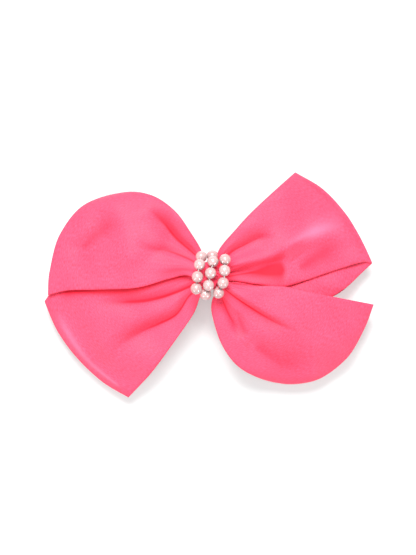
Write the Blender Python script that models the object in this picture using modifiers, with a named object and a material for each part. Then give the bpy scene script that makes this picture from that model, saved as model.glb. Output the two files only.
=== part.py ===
"""Hair barrette: a crossed double-loop satin bow on a sprung metal clip, its waist wrapped with beads.

The bow lies face up (+Z) on its closed clip, which runs along X and stands on Z = 0.
Two ribbon rings cross at the waist. Each is one closed band that makes a loop on either side:
the front ring makes the upper-left and lower-right loops, the rear ring the other two.
"""

import math

import bmesh
import bpy
from mathutils import Matrix, Vector

MM = 0.001
TOUCH_GAP = 0.3  # millimetres left between pieces that touch

# Place of the bow's waist over the middle of the whole outline.
WAIST = (0.5, 2.7)

# Ribbon.
RIBBON_WALL = 1.2
GATHER_WALL = 1.7
COLUMNS = 10
ROWS_PER_STATION = 2

# Clip, along X. Its middle line lies at CLIP_Y from the waist.
CLIP_Y = 0.6
PLATE_TOP = 13.0
PLATE_RADIUS = 160.0
PLATE_THICK = 0.8
PLATE_HALF_WIDTH = 3.7
PLATE_ENDS = (-31.0, 31.0)
PIN_X, PIN_Z, PIN_RADIUS = -28.6, 3.6, 0.6
EAR_RADIUS, EAR_THICK = 1.7, 0.7
PIN_HOLE_RADIUS = PIN_RADIUS + TOUCH_GAP
ARM_THICK = 0.8
ARM_HALF_WIDTH = 3.5
ARM_RISE = 2.6
ARM_FLAT = (21.0, 25.0)
LATCH_X = 28.4
LATCH_HALF_LENGTH = 2.4
LATCH_HALF_WINDOW = 2.6
FORK_HALF_WIDTH = 1.4
BAR_THICK = 0.4
RIVET_SHANK, RIVET_HEAD = 0.8, 1.6
FELT_THICK, FELT_HALF_WIDTH, FELT_END = 1.2, 3.5, 24.0

# Wrap band round the waist and the clip's plate.
WRAP_HALF_LENGTH = 1.8
WRAP_THICK = 0.5
WRAP_TOP, WRAP_BOTTOM = 23.2, 11.4
WRAP_HALF_WIDTH, WRAP_CORNER = 4.5, 3.0

# Beads.
BEAD_RADIUS, BEAD_HOLE_RADIUS = 1.95, 0.5
BEAD_PITCH = 4.15
BEAD_STEPS, BEAD_ARC_STEPS = 12, 6
THREAD_RADIUS = 0.18

# Stations along a loop, from the waist out over the front layer, round the fold and back.
STATIONS = (0, 0.08, 0.2, 0.36, 0.55, 0.75, 0.91, 1.0, 0.91, 0.75, 0.55, 0.36, 0.2, 0.08, 0)

# Each loop: the plan of its edges in millimetres from the waist, and its height at each station
# along the south and the north edge. south and north are the ribbon's two edges, y rising north.
# A round corner is one where the fold runs smoothly on from that edge.
# blend gives the share of the width over which the height turns from the south's to the north's.
LOOPS = {
    "upper_left": {
        "south": [
            (0, -1.8), (-2.2, -1.9), (-8, 0.8), (-14.7, -0.5), (-25, -3.4), (-38.5, -4.2), (-55.9, -5.4)
        ],
        "north": [(0, 3), (-2.1, 3.4), (-3, 8.6), (-6.8, 15.2), (-12.2, 22.6), (-20.3, 28), (-30.5, 29.1)],
        "fold": [(-55.9, -5.4), (-55.2, 2.5), (-51.8, 14.6), (-43.7, 24.7), (-30.5, 29.1)],
        "back_south": [
            (0, -1.8), (-2.2, -1.9), (-8, 1.4), (-14.7, 0.6), (-25, -2), (-38.5, -2.8), (-55.9, -5.4)
        ],
        "back_north": [
            (0, 3), (-2.1, 3.4), (-3.6, 8), (-8, 14.8), (-13.2, 21.4), (-20.8, 26.8), (-30.5, 29.1)
        ],
        "south_z": (21.6, 21.6, 21.2, 20.8, 19.9, 18.0, 14.6, 10.8, 9.8, 13.9, 16.8, 18.1, 18.8, 19.4, 19.6),
        "north_z": (21.6, 20.0, 18.2, 19.3, 19.0, 16.5, 13.0, 9.0, 6.6, 6.8, 8.6, 11.5, 15.0, 19.1, 19.6),
        "blend": (0.15, 1.0),
        "bulge": 2.4,
        "round_corner": "north",
    },
    "lower_right": {
        "south": [
            (0, -1.8), (2.3, -2), (2.4, -4.4), (0.6, -8),
            (0.8, -13.3), (4.2, -23.4), (11, -31.5), (23.5, -36.4)
        ],
        "north": [(0, 3), (2.2, 2.4), (7, -2), (14, -2.9), (25.6, -3.2), (42.3, -6.7), (56.1, -9.3)],
        "fold": [(23.5, -36.4), (36.5, -35.3), (46.6, -28), (52.6, -18.2), (56.1, -9.3)],
        "back_south": [
            (0, -1.8), (2.3, -2), (2.6, -4.6), (1.8, -8),
            (2.2, -13.3), (5.4, -22.6), (12, -30.4), (23.5, -36.4)
        ],
        "back_north": [(0, 3), (2.2, 2.2), (7, -3.2), (14, -4.3), (25.6, -4.8), (42.3, -8), (56.1, -9.3)],
        "south_z": (21.6, 20.8, 18.0, 16.6, 14.8, 12.2, 9.0, 5.6, 3.4, 3.6, 5.6, 9.0, 13.6, 19.0, 19.6),
        "north_z": (21.6, 21.3, 20.6, 19.8, 18.5, 16.0, 12.4, 8.8, 8.0, 12.0, 15.2, 17.0, 18.3, 19.5, 19.6),
        "blend": (0.0, 0.78),
        "bulge": 2.0,
        "round_corner": "south",
    },
    "lower_left": {
        "south": [
            (0, -2.8), (-2.1, -3.2), (-3.8, -6.8), (-6, -12.5), (-12.4, -21.9), (-20.3, -32.6), (-28.4, -41.4)
        ],
        "north": [(0, 4), (-2.2, 3.8), (-8, 2.2), (-16, 0.4), (-30, -1.8), (-46, -4), (-57.1, -7.9)],
        "fold": [(-28.4, -41.4), (-37.6, -35.9), (-46.2, -27.6), (-53, -18.2), (-57.1, -7.9)],
        "back_south": [
            (0, -2.8), (-2.1, -3.2), (-4.6, -6.8), (-7.2, -12), (-13.6, -21.2), (-21, -31.6), (-28.4, -41.4)
        ],
        "back_north": [(0, 4), (-2.2, 3.8), (-8, 2.6), (-16, 1.2), (-30, -0.6), (-46, -2.2), (-57.1, -7.9)],
        "south_z": (17.6, 17.2, 16.4, 15.6, 13.6, 11.0, 8.0, 4.8, 2.6, 2.8, 4.6, 7.6, 12.2, 15.5, 15.6),
        "north_z": (17.6, 17.3, 16.8, 16.2, 14.6, 11.4, 7.6, 4.8, 4.4, 8.6, 12.4, 14.4, 15.1, 15.6, 15.6),
        "blend": (0.0, 0.7),
        "bulge": 2.0,
    },
    "upper_right": {
        "south": [
            (0, -2.8), (2.2, -2.8), (7.4, -1.2), (16, -2.3), (25.6, -3), (39.1, 1.3), (51.8, 5.2), (55.6, 4.9)
        ],
        "north": [(0, 4), (2.1, 4.4), (3, 9.4), (8.4, 16), (15.4, 23.5), (29.2, 36)],
        "fold": [(55.6, 4.9), (50.8, 14.8), (45.8, 24.2), (38.4, 31), (29.2, 36)],
        "back_south": [(0, -2.8), (2.2, -3), (9, -5.2), (22, -7.8), (34, -8.2), (44, -5.4), (55.6, 4.9)],
        "back_north": [(0, 4), (2.1, 4.4), (3.8, 9), (9.4, 15.2), (16.4, 22.4), (29.2, 36)],
        "south_z": (17.6, 17.6, 17.6, 17.4, 16.2, 13.4, 9.8, 6.6, 5.4, 8.6, 12.9, 14.8, 15.3, 15.6, 15.6),
        "north_z": (17.6, 17.6, 17.9, 18.2, 17.0, 14.4, 11.2, 7.4, 5.0, 5.4, 7.8, 11.4, 14.0, 15.5, 15.6),
        "blend": (0.52, 1.0),
        "bulge": 2.0,
    },
}
RINGS = {
    "front_ribbon": ("upper_left", "lower_right"),
    "rear_ribbon": ("lower_left", "upper_right"),
}

# Each strand of beads: how far its first bead lies along the wrap from the top, and each bead's x.
STRANDS = {
    "left": {"start": 7.95, "x": (-3.1, -3.7, -4.4, -4.8)},
    "middle": {"start": 9.2, "x": (0.9, 1.0, 0.0, -0.7, -1.7)},
    "right": {"start": 5.9, "x": (4.9, 4.7, 4.2, 2.7)},
}

FINISHES = {
    "satin": ((0.90, 0.12, 0.25), 0.5, 0.0),
    "pearl": ((0.93, 0.86, 0.84), 0.2, 0.0),
    "nylon": ((0.95, 0.90, 0.90), 0.35, 0.0),
    "felt": ((0.90, 0.14, 0.28), 0.95, 0.0),
    "nickel": ((0.72, 0.72, 0.71), 0.28, 1.0),
    "spring_steel": ((0.62, 0.62, 0.63), 0.35, 1.0),
}


def clear_scene():
    for obj in list(bpy.data.objects):
        bpy.data.objects.remove(obj, do_unlink=True)


def collection(name, hidden=False):
    made = bpy.data.collections.new(name)
    made.hide_render = hidden
    bpy.context.scene.collection.children.link(made)
    return made


def new_object(name, data, where, parent=None):
    obj = bpy.data.objects.new(name, data)
    where.objects.link(obj)
    obj.parent = parent
    return obj


def finish(obj, finish_name):
    """Gives the object its own Principled material."""
    colour, roughness, metallic = FINISHES[finish_name]
    material = bpy.data.materials.new(obj.name)
    material.use_nodes = True
    shader = material.node_tree.nodes["Principled BSDF"]
    shader.inputs["Base Color"].default_value = (*colour, 1.0)
    shader.inputs["Roughness"].default_value = roughness
    shader.inputs["Metallic"].default_value = metallic
    if obj.data.materials:
        obj.material_slots[0].link = "OBJECT"
        obj.material_slots[0].material = material
    else:
        obj.data.materials.append(material)
    return obj


def mesh_from(name, points, faces):
    mesh = bpy.data.meshes.new(name)
    mesh.from_pydata([Vector(p) * MM for p in points], [], faces)
    return mesh


def add_poly(curve, points, cyclic=False):
    """Adds a POLY spline through points in millimetres."""
    spline = curve.splines.new("POLY")
    spline.points.add(len(points) - 1)
    for point, place in zip(spline.points, points):
        point.co = (*(Vector(place) * MM), 1)
    spline.use_cyclic_u = cyclic


def solidify(obj, thickness, even=True):
    """Gives an open surface a wall, centred on it."""
    wall = obj.modifiers.new("wall", "SOLIDIFY")
    wall.thickness = thickness * MM
    wall.offset = 0.0
    wall.use_even_offset = even
    return wall


def boolean(obj, other, operation):
    cut = obj.modifiers.new(f"{operation.lower()}_{other.name}", "BOOLEAN")
    cut.operation = operation
    cut.object = other
    cut.solver = "EXACT"


class Model:
    """The collections and the parent empties that every piece is made in."""

    def __init__(self):
        self.parts = collection("barrette")
        self.cutters = collection("cutters", hidden=True)
        self.waist = self.empty("waist", (*WAIST, 0), None)
        self.clip = self.empty("clip_line", (0, CLIP_Y, 0), self.waist)

    def empty(self, name, place, parent):
        made = new_object(name, None, self.parts, parent)
        made.location = Vector(place) * MM
        return made

    def helper(self, made):
        """Makes a cutter, or a shape joined to another, that is not a node."""
        for each in list(made.users_collection):
            each.objects.unlink(made)
        self.cutters.objects.link(made)
        made.parent = self.clip
        made.hide_render = True
        made.display_type = "WIRE"
        return made

    def box(self, name, low, high):
        bpy.ops.mesh.primitive_cube_add(size=1.0)
        made = bpy.context.object
        made.name = name
        low, high = Vector(low), Vector(high)
        made.location = (low + high) / 2 * MM
        made.scale = (high - low) * MM
        return self.helper(made)

    def rod(self, name, centre, radius, length, sides=24):
        """A cylinder along Y."""
        bpy.ops.mesh.primitive_cylinder_add(vertices=sides, radius=radius * MM, depth=length * MM)
        made = bpy.context.object
        made.name = name
        made.location = Vector(centre) * MM
        made.rotation_euler = (math.pi / 2, 0, 0)
        return self.helper(made)

    def slab(self, name, outline, low, high):
        """A flat outline of (x, z), standing between two values of y, as a mesh that can join or cut."""
        curve = bpy.data.curves.new(name, "CURVE")
        curve.dimensions = "2D"
        curve.fill_mode = "BOTH"
        curve.extrude = (high - low) / 2 * MM
        add_poly(curve, [(x, z, 0) for x, z in outline], cyclic=True)
        drawn = new_object(f"{name}_outline", curve, self.cutters)
        graph = bpy.context.evaluated_depsgraph_get()
        mesh = bpy.data.meshes.new_from_object(drawn.evaluated_get(graph))
        bpy.data.objects.remove(drawn)
        built = bmesh.new()
        built.from_mesh(mesh)
        bmesh.ops.remove_doubles(built, verts=built.verts, dist=0.001 * MM)
        bmesh.ops.recalc_face_normals(built, faces=built.faces)
        built.to_mesh(mesh)
        built.free()
        made = new_object(name, mesh, self.cutters)
        made.location = (0, (low + high) / 2 * MM, 0)
        made.rotation_euler = (math.pi / 2, 0, 0)
        return self.helper(made)

    def strip(self, name, path, half_widths, thickness, across, parent, origin=(0, 0, 0)):
        """A bent strip of sheet: its centre line, half its width at each point, and its width's direction.

        The path is on the clip's line, and origin is where the parent stands on it.
        """
        across, origin = Vector(across), Vector(origin)
        points = []
        for point, half in zip(path, half_widths):
            points += [Vector(point) - origin - across * half, Vector(point) - origin + across * half]
        faces = [(2 * i, 2 * i + 1, 2 * i + 3, 2 * i + 2) for i in range(len(path) - 1)]
        obj = new_object(name, mesh_from(name, points, faces), self.parts, parent)
        solidify(obj, thickness)
        return obj


class SmoothLine:
    """A Catmull-Rom curve through the given points, read by its share of length."""

    SAMPLES = 12

    def __init__(self, points, before=None, after=None):
        """before and after are the next points of lines that it joins and runs smoothly on from."""
        points = [Vector(p) for p in points]
        first = Vector(before) if before else 2 * points[0] - points[1]
        last = Vector(after) if after else 2 * points[-1] - points[-2]
        ends = [first, *points, last]
        self.points = [points[0]]
        for a, b, c, d in zip(ends, ends[1:], ends[2:], ends[3:]):
            self.points += [catmull(a, b, c, d, i / self.SAMPLES) for i in range(1, self.SAMPLES + 1)]
        self.lengths = [0.0]
        for a, b in zip(self.points, self.points[1:]):
            self.lengths.append(self.lengths[-1] + (b - a).length)

    def at(self, share):
        wanted = min(max(share, 0.0), 1.0) * self.lengths[-1]
        for i in range(1, len(self.lengths)):
            if self.lengths[i] >= wanted:
                span = self.lengths[i] - self.lengths[i - 1]
                return self.points[i - 1].lerp(self.points[i], (wanted - self.lengths[i - 1]) / span)
        return self.points[-1]


def catmull(a, b, c, d, x):
    """The Catmull-Rom value between b and c, for numbers and for vectors."""
    slope, bend, twist = c - a, 2 * a - 5 * b + 4 * c - d, 3 * b - a - 3 * c + d
    return 0.5 * (2 * b + slope * x + bend * x * x + twist * x * x * x)


def read_stations(values, place):
    """A smooth value at a place counted in stations."""
    i = min(int(place), len(values) - 2)
    low, high = max(i - 1, 0), min(i + 2, len(values) - 1)
    return catmull(values[low], values[i], values[i + 1], values[high], place - i)


def smoothstep(low, high, x):
    x = min(max((x - low) / (high - low), 0.0), 1.0)
    return x * x * (3 - 2 * x)


class Loop:
    """One loop of a ring: a patch between two edges that folds over at its outer end."""

    def __init__(self, sizes):
        self.sizes = sizes
        fold = sizes["fold"]
        round_south, round_north = (sizes.get("round_corner") == edge for edge in ("south", "north"))
        before = sizes["south"][-2] if round_south else None
        after = sizes["north"][-2] if round_north else None
        self.fold = SmoothLine(fold, before, after)
        self.front, self.back = (
            (
                SmoothLine(sizes[f"{layer}south"], after=fold[1] if round_south else None),
                SmoothLine(sizes[f"{layer}north"], after=fold[-2] if round_north else None),
            )
            for layer in ("", "back_")
        )

    def plan(self, edges, s, t):
        """A Coons patch between the two edges, the waist and the fold."""
        south, north = edges
        waist = south.at(0).lerp(north.at(0), s)
        corners = south.at(0).lerp(north.at(0), s).lerp(self.fold.at(0).lerp(self.fold.at(1), s), t)
        return south.at(t).lerp(north.at(t), s) + waist.lerp(self.fold.at(s), t) - corners

    def point(self, s, place):
        """The place on the ribbon at a share of its width and a count of stations."""
        t = read_stations(STATIONS, place)
        fold_place = len(STATIONS) // 2
        x, y = self.plan(self.front if place <= fold_place else self.back, s, t)
        turn = smoothstep(*self.sizes["blend"], s)
        south, north = (read_stations(self.sizes[edge], place) for edge in ("south_z", "north_z"))
        z = (1 - turn) * south + turn * north
        if place < fold_place:
            z += self.sizes["bulge"] * (math.sin(math.pi * s) * math.sin(math.pi * t)) ** 2
        return Vector((x, y, z))


def make_ring(model, name, loop_names):
    """One closed band: out and back round the left loop, then out and back round the right one."""
    left, right = (Loop(LOOPS[each]) for each in loop_names)
    steps = (len(STATIONS) - 1) * ROWS_PER_STATION
    places = [i / ROWS_PER_STATION for i in range(steps + 1)]
    rows = [(left, place) for place in reversed(places)] + [(right, place) for place in places[1:-1]]
    points = [loop.point(i / COLUMNS, place) for loop, place in rows for i in range(COLUMNS + 1)]
    across = COLUMNS + 1
    faces = []
    for j in range(len(rows)):
        here, after = j * across, (j + 1) % len(rows) * across
        faces += [(here + i, after + i, after + i + 1, here + i + 1) for i in range(COLUMNS)]
    ring = new_object(name, mesh_from(name, points, faces), model.parts, model.waist)
    gather = ring.vertex_groups.new(name="gather")
    for j, (_, place) in enumerate(rows):
        weight = 1 - smoothstep(0.0, 0.16, read_stations(STATIONS, place))
        gather.add([j * across + i for i in range(across)], weight, "REPLACE")
    wall = solidify(ring, GATHER_WALL, even=False)
    wall.vertex_group = "gather"
    wall.thickness_vertex_group = RIBBON_WALL / GATHER_WALL
    ring.data.shade_smooth()
    return finish(ring, "satin")


def arch(x, top):
    """Height at x of the clip's arch, whose top is given."""
    return top - x * x / (2 * PLATE_RADIUS)


def span(low, high, count):
    return [low + (high - low) * i / count for i in range(count + 1)]


def make_plate(model):
    xs = span(*PLATE_ENDS, 20)
    path = [(x, 0, arch(x, PLATE_TOP - PLATE_THICK / 2)) for x in xs]
    halves = [PLATE_HALF_WIDTH] * len(xs)
    halves[0] = halves[-1] = PLATE_HALF_WIDTH * 0.72
    plate = model.strip("clip_plate", path, halves, PLATE_THICK, (0, 1, 0), model.clip)
    inside = arch(PIN_X, PLATE_TOP - PLATE_THICK / 2)
    for side in (-1, 1):
        outer = side * (PLATE_HALF_WIDTH - 0.1)
        low, high = sorted((outer, outer - side * EAR_THICK))
        boolean(plate, model.slab(f"ear_{side}", ear_outline(inside), low, high), "UNION")
    boolean(plate, model.rod("pin_hole", (PIN_X, 0, PIN_Z), PIN_HOLE_RADIUS, 12), "DIFFERENCE")
    boolean(plate, model.helper(rivet_hole()), "DIFFERENCE")
    return finish(plate, "nickel")


def ear_outline(top):
    """An ear's outline as (x, z): straight sides that end in a half circle round the pin."""
    turn = [math.radians(a) for a in span(180, 360, 10)]
    rim = [(PIN_X + EAR_RADIUS * math.cos(a), PIN_Z + EAR_RADIUS * math.sin(a)) for a in turn]
    return [*rim, (PIN_X + EAR_RADIUS, top), (PIN_X - EAR_RADIUS, top)]


def rivet_hole():
    bpy.ops.mesh.primitive_cylinder_add(vertices=16, radius=(RIVET_SHANK + TOUCH_GAP) * MM, depth=8 * MM)
    made = bpy.context.object
    made.name = "rivet_hole"
    made.location = Vector((LATCH_X, 0, 10)) * MM
    return made


def barrel(radius, start, end, steps):
    """Points of a rolled eye round the pin, as angles in degrees from +X towards +Z."""
    return [
        (PIN_X + radius * math.cos(math.radians(a)), 0, PIN_Z + radius * math.sin(math.radians(a)))
        for a in span(start, end, steps)
    ]


def make_arm(model, hinge):
    """The lower arm: rolled eye at the pin, arched span on two flats, raised end with the latch window."""
    eye = barrel(PIN_HOLE_RADIUS + ARM_THICK / 2, -20, 270, 12)
    low = ARM_THICK / 2
    flat_in, flat_out = ARM_FLAT
    dip = [(-26.9, 0, 2.1), (-26.0, 0, 1.1), (-flat_out, 0, low)]
    span_x = span(-flat_in, flat_in, 14)
    bow = [(x, 0, low + ARM_RISE * math.cos(math.pi * x / (2 * flat_in)) ** 2) for x in span_x]
    end = [(flat_out, 0, low), (26.0, 0, 1.9), (LATCH_X + LATCH_HALF_LENGTH + 1.0, 0, 1.9)]
    path = eye + dip + bow + end
    halves = [PLATE_HALF_WIDTH - 0.1 - EAR_THICK - TOUCH_GAP] * (len(eye) + 1)
    halves += [ARM_HALF_WIDTH] * (len(path) - len(halves))
    arm = model.strip("clip_arm", path, halves, ARM_THICK, (0, 1, 0), hinge, (PIN_X, 0, PIN_Z))
    reach = EAR_RADIUS + 0.7
    notch = model.box(
        "fork_notch", (PIN_X - reach, -FORK_HALF_WIDTH, 0.6), (PIN_X + reach, FORK_HALF_WIDTH, PIN_Z + reach)
    )
    window = model.box(
        "latch_window",
        (LATCH_X - LATCH_HALF_LENGTH, -LATCH_HALF_WINDOW, 0),
        (LATCH_X + LATCH_HALF_LENGTH, LATCH_HALF_WINDOW, 4),
    )
    boolean(arm, notch, "DIFFERENCE")
    boolean(arm, window, "DIFFERENCE")
    return finish(arm, "nickel")


def make_tension_bar(model, hinge):
    eye = barrel(PIN_HOLE_RADIUS + BAR_THICK / 2, 380, 90, 12)
    rise = SmoothLine(
        [eye[-1], (-24.0, 0, 6.0), (-15.0, 0, 9.3), (0, 0, 10.6), (14.0, 0, 10.1), (23.0, 0, 8.4)]
    )
    path = eye + [tuple(rise.at(i / 16)) for i in range(1, 17)]
    narrow = FORK_HALF_WIDTH - TOUCH_GAP
    halves = [narrow] * (len(eye) + 2)
    halves += [2.4] * (len(path) - len(halves) - 1) + [1.6]
    bar = model.strip("tension_bar", path, halves, BAR_THICK, (0, 1, 0), hinge, (PIN_X, 0, PIN_Z))
    return finish(bar, "spring_steel")


def turned(model, name, profile, parent, sides, finish_name):
    """A solid turned about its own Z from a profile of (radius, z) that runs down its outer side."""
    mesh = bpy.data.meshes.new(name)
    section = [Vector((r, 0, z)) * MM for r, z in profile]
    mesh.from_pydata(section, [(i, i + 1) for i in range(len(profile) - 1)], [])
    obj = new_object(name, mesh, model.parts, parent)
    turn = obj.modifiers.new("turn", "SCREW")
    turn.steps = turn.render_steps = sides
    turn.use_merge_vertices = True
    turn.merge_threshold = 0.00001
    return finish(obj, finish_name)


def make_pin(model):
    half = PLATE_HALF_WIDTH + 0.2
    head = PIN_RADIUS + 0.5
    top = half + TOUCH_GAP
    profile = [(0, top + 0.4), (head, top + 0.3), (head, top - 0.1), (PIN_RADIUS, top - 0.1)]
    profile += [(PIN_RADIUS, -top), (PIN_RADIUS * 0.6, -top - 0.4), (0, -top - 0.4)]
    pin = turned(model, "hinge_pin", profile, model.clip, 16, "spring_steel")
    pin.location = Vector((PIN_X, 0, PIN_Z)) * MM
    pin.rotation_euler = (math.pi / 2, 0, 0)
    return pin


def make_clasp(model):
    """The clasp's riveted base, and its two sprung tabs, each turning inwards about the base's side."""
    under = arch(LATCH_X + 2, PLATE_TOP - PLATE_THICK) - TOUCH_GAP
    base_thick, base_half = 0.5, 2.3
    base_z = under - base_thick / 2
    path = [(x, 0, base_z) for x in (LATCH_X - 2.0, LATCH_X + 2.0)]
    base = model.strip("clasp_base", path, [base_half] * 2, base_thick, (0, 1, 0), model.clip)
    boolean(base, bpy.data.objects["rivet_hole"], "DIFFERENCE")
    finish(base, "spring_steel")
    top = arch(LATCH_X - RIVET_HEAD, PLATE_TOP) + 0.2
    bottom = under - base_thick - 0.2
    profile = [(0, top + 0.5), (1.0, top + 0.4), (RIVET_HEAD, top), (RIVET_SHANK, top)]
    profile += [(RIVET_SHANK, bottom), (RIVET_HEAD, bottom), (1.0, bottom - 0.35), (0, bottom - 0.4)]
    rivet = turned(model, "clasp_rivet", profile, model.clip, 16, "nickel")
    rivet.location = Vector((LATCH_X, 0, 0)) * MM
    for side, name in ((-1, "front"), (1, "rear")):
        root = base_half + TOUCH_GAP + 0.3
        outline = [(root, base_z), (4.2, base_z - 0.4), (5.0, base_z - 1.6), (4.3, base_z - 2.8)]
        outline += [(2.4, base_z - 4.4), (1.9, base_z - 5.4), (1.9, 1.0), (2.3, 0.5)]
        pivot = (LATCH_X, side * root, base_z)
        hinge = model.empty(f"clasp_{name}_pivot", pivot, model.clip)
        path = [(LATCH_X, side * y, z) for y, z in outline]
        halves = [1.6] * 2 + [2.0] * 3 + [1.5] * 3
        tab = model.strip(f"clasp_tab_{name}", path, halves, 0.4, (1, 0, 0), hinge, pivot)
        finish(tab, "spring_steel")


def make_felt(model):
    xs = span(-FELT_END, FELT_END, 12)
    middle = PLATE_TOP + TOUCH_GAP + FELT_THICK / 2
    path = [(x, 0, arch(x, middle)) for x in xs]
    halves = [FELT_HALF_WIDTH] * len(xs)
    halves[0] = halves[-1] = FELT_HALF_WIDTH * 0.7
    return finish(model.strip("felt_pad", path, halves, FELT_THICK, (0, 1, 0), model.clip), "felt")


def wrap_outline(inset):
    """The wrap's section as (y, z): square at the clip, rounded over the gathers."""
    half, top, bottom = WRAP_HALF_WIDTH - inset, WRAP_TOP - inset, WRAP_BOTTOM + inset
    corner, foot = WRAP_CORNER - inset, 1.0 - inset
    outline = []
    for centre_y, centre_z, radius, start in (
        (half - corner, top - corner, corner, 0),
        (-(half - corner), top - corner, corner, 90),
        (-(half - foot), bottom + foot, foot, 180),
        (half - foot, bottom + foot, foot, 270),
    ):
        for angle in span(start, start + 90, 6):
            a = math.radians(angle)
            outline.append((centre_y + radius * math.cos(a), centre_z + radius * math.sin(a)))
    return outline


def make_wrap(model):
    curve = bpy.data.curves.new("centre_wrap", "CURVE")
    curve.dimensions = "2D"
    curve.fill_mode = "BOTH"
    curve.extrude = WRAP_HALF_LENGTH * MM
    for inset in (0.0, WRAP_THICK):
        add_poly(curve, [(y, z, 0) for y, z in wrap_outline(inset)], cyclic=True)
    wrap = new_object("centre_wrap", curve, model.parts, model.clip)
    # The outline's plane stands across the clip: its x is the part's y, and its y the part's z.
    wrap.matrix_local = Matrix(((0, 0, 1, 0), (1, 0, 0, 0), (0, 1, 0, 0), (0, 0, 0, 1)))
    return finish(wrap, "satin")


def bead_place(along, x):
    """The centre of a bead at a length along the wrap from its top, towards +Y where along is positive."""
    stand = BEAD_RADIUS + TOUCH_GAP
    flat = WRAP_HALF_WIDTH - WRAP_CORNER
    radius = WRAP_CORNER + stand
    beyond = max(abs(along) - flat, 0.0)
    angle = min(beyond / radius, math.pi / 2)
    drop = max(beyond - radius * math.pi / 2, 0.0)
    y = min(abs(along), flat) + radius * math.sin(angle)
    z = WRAP_TOP - WRAP_CORNER + radius * math.cos(angle) - drop
    return Vector((x, math.copysign(y, along), z))


def bead_profile():
    """A bead's section: down its outer side, then up through its hole."""
    open_angle = math.asin(BEAD_HOLE_RADIUS / BEAD_RADIUS)
    angles = span(open_angle, math.pi - open_angle, BEAD_ARC_STEPS)
    outer = [(BEAD_RADIUS * math.sin(a), BEAD_RADIUS * math.cos(a)) for a in angles]
    return outer + [outer[0]]


def make_strand(model, name, sizes):
    """One strand: its beads, each turned along the strand, and the thread that runs through them."""
    centres = [bead_place(sizes["start"] - BEAD_PITCH * i, x) for i, x in enumerate(sizes["x"])]
    ends = [2 * centres[0] - centres[1], *centres, 2 * centres[-1] - centres[-2]]
    directions = [(after - before).normalized() for before, after in zip(ends, ends[2:])]
    for i, (centre, direction) in enumerate(zip(centres, directions)):
        bead = turned(model, f"pearl_{name}_{i + 1}", bead_profile(), model.clip, BEAD_STEPS, "pearl")
        bead.location = centre * MM
        bead.rotation_mode = "QUATERNION"
        bead.rotation_quaternion = Vector((0, 0, 1)).rotation_difference(direction)
        bead.data.shade_smooth()
    straight = BEAD_RADIUS * 0.93
    route = []
    for centre, direction in zip(centres, directions):
        route += [centre - direction * straight, centre + direction * straight]
    tail = BEAD_RADIUS + 0.5
    route = [centres[0] - directions[0] * tail, *route, centres[-1] + directions[-1] * tail]
    curve = bpy.data.curves.new(f"thread_{name}", "CURVE")
    curve.dimensions = "3D"
    curve.bevel_depth = THREAD_RADIUS * MM
    curve.bevel_resolution = 1
    curve.use_fill_caps = True
    add_poly(curve, route)
    thread = new_object(f"thread_{name}", curve, model.parts, model.clip)
    finish(thread, "nylon")


def main():
    clear_scene()
    model = Model()
    for name, loops in RINGS.items():
        make_ring(model, name, loops)
    make_plate(model)
    hinge = model.empty("hinge_line", (PIN_X, 0, PIN_Z), model.clip)
    make_arm(model, hinge)
    make_tension_bar(model, hinge)
    make_pin(model)
    make_clasp(model)
    make_felt(model)
    make_wrap(model)
    for name, sizes in STRANDS.items():
        make_strand(model, name, sizes)


main()
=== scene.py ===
"""Looks of a pink satin bow barrette: two crossed ribbon rings under strands of beads, on a metal clip.

Lengths are in millimetres until a mesh is made, and are counted from the bow's waist. +X runs along the clip,
+Y towards the upper loops and +Z out of the bow's face.
"""

import logging
import math
from dataclasses import dataclass, field
from enum import Enum
from typing import Sequence

import bmesh
import bpy
import numpy as np
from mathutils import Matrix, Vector, noise


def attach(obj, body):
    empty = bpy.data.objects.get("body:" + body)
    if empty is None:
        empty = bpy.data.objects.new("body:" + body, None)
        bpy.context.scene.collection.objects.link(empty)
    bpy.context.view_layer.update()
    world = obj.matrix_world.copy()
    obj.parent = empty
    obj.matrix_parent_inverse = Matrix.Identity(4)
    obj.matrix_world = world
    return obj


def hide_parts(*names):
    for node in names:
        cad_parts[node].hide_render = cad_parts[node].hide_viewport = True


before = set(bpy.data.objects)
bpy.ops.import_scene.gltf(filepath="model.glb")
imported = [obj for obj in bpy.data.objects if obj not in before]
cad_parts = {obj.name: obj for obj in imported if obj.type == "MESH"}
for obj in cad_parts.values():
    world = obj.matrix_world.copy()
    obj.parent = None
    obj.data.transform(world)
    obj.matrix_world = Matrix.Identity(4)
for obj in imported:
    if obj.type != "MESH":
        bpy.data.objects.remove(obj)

LOG = logging.getLogger("barrette")
MM = 0.001
WAIST = np.array([0.5, 2.7, 0.0])
CLIP_Y = 0.6
BOW_BODY = "bow_and_plate"
Colour = tuple[float, float, float]
Plan = Sequence[tuple[float, float]]
Given = float | Sequence[float] | bpy.types.NodeSocket


class Corner(Enum):
    """An outer corner of a loop that is rounded rather than sharp."""

    SOUTH = "south"
    NORTH = "north"


class Slot(Enum):
    """The record's material slots."""

    SATIN = "satin_ribbon"
    FELT = "felt"
    PEARL = "pearl"
    THREAD = "thread"
    NICKEL = "nickel"
    STEEL = "spring_steel"


# ---------------------------------------------------------------- curves and numbers


def catmull(a: np.ndarray, b: np.ndarray, c: np.ndarray, d: np.ndarray, x: np.ndarray) -> np.ndarray:
    """The Catmull-Rom value between b and c, for numbers and arrays.

    Args:
        a, b, c, d: four values in a row.
        x: share of the way from b to c.
    Returns:
        The value at x.
    """
    return 0.5 * (2 * b + (c - a) * x + (2 * a - 5 * b + 4 * c - d) * x * x + (3 * b - a - 3 * c + d) * x**3)


def smoothstep(low: float, high: float, x: np.ndarray) -> np.ndarray:
    """Turns smoothly from 0 at low to 1 at high.

    Args:
        low: where it is 0.
        high: where it is 1.
        x: where to read.
    Returns:
        The values there.
    """
    x = np.clip((x - low) / (high - low), 0.0, 1.0)
    return x * x * (3 - 2 * x)


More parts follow.
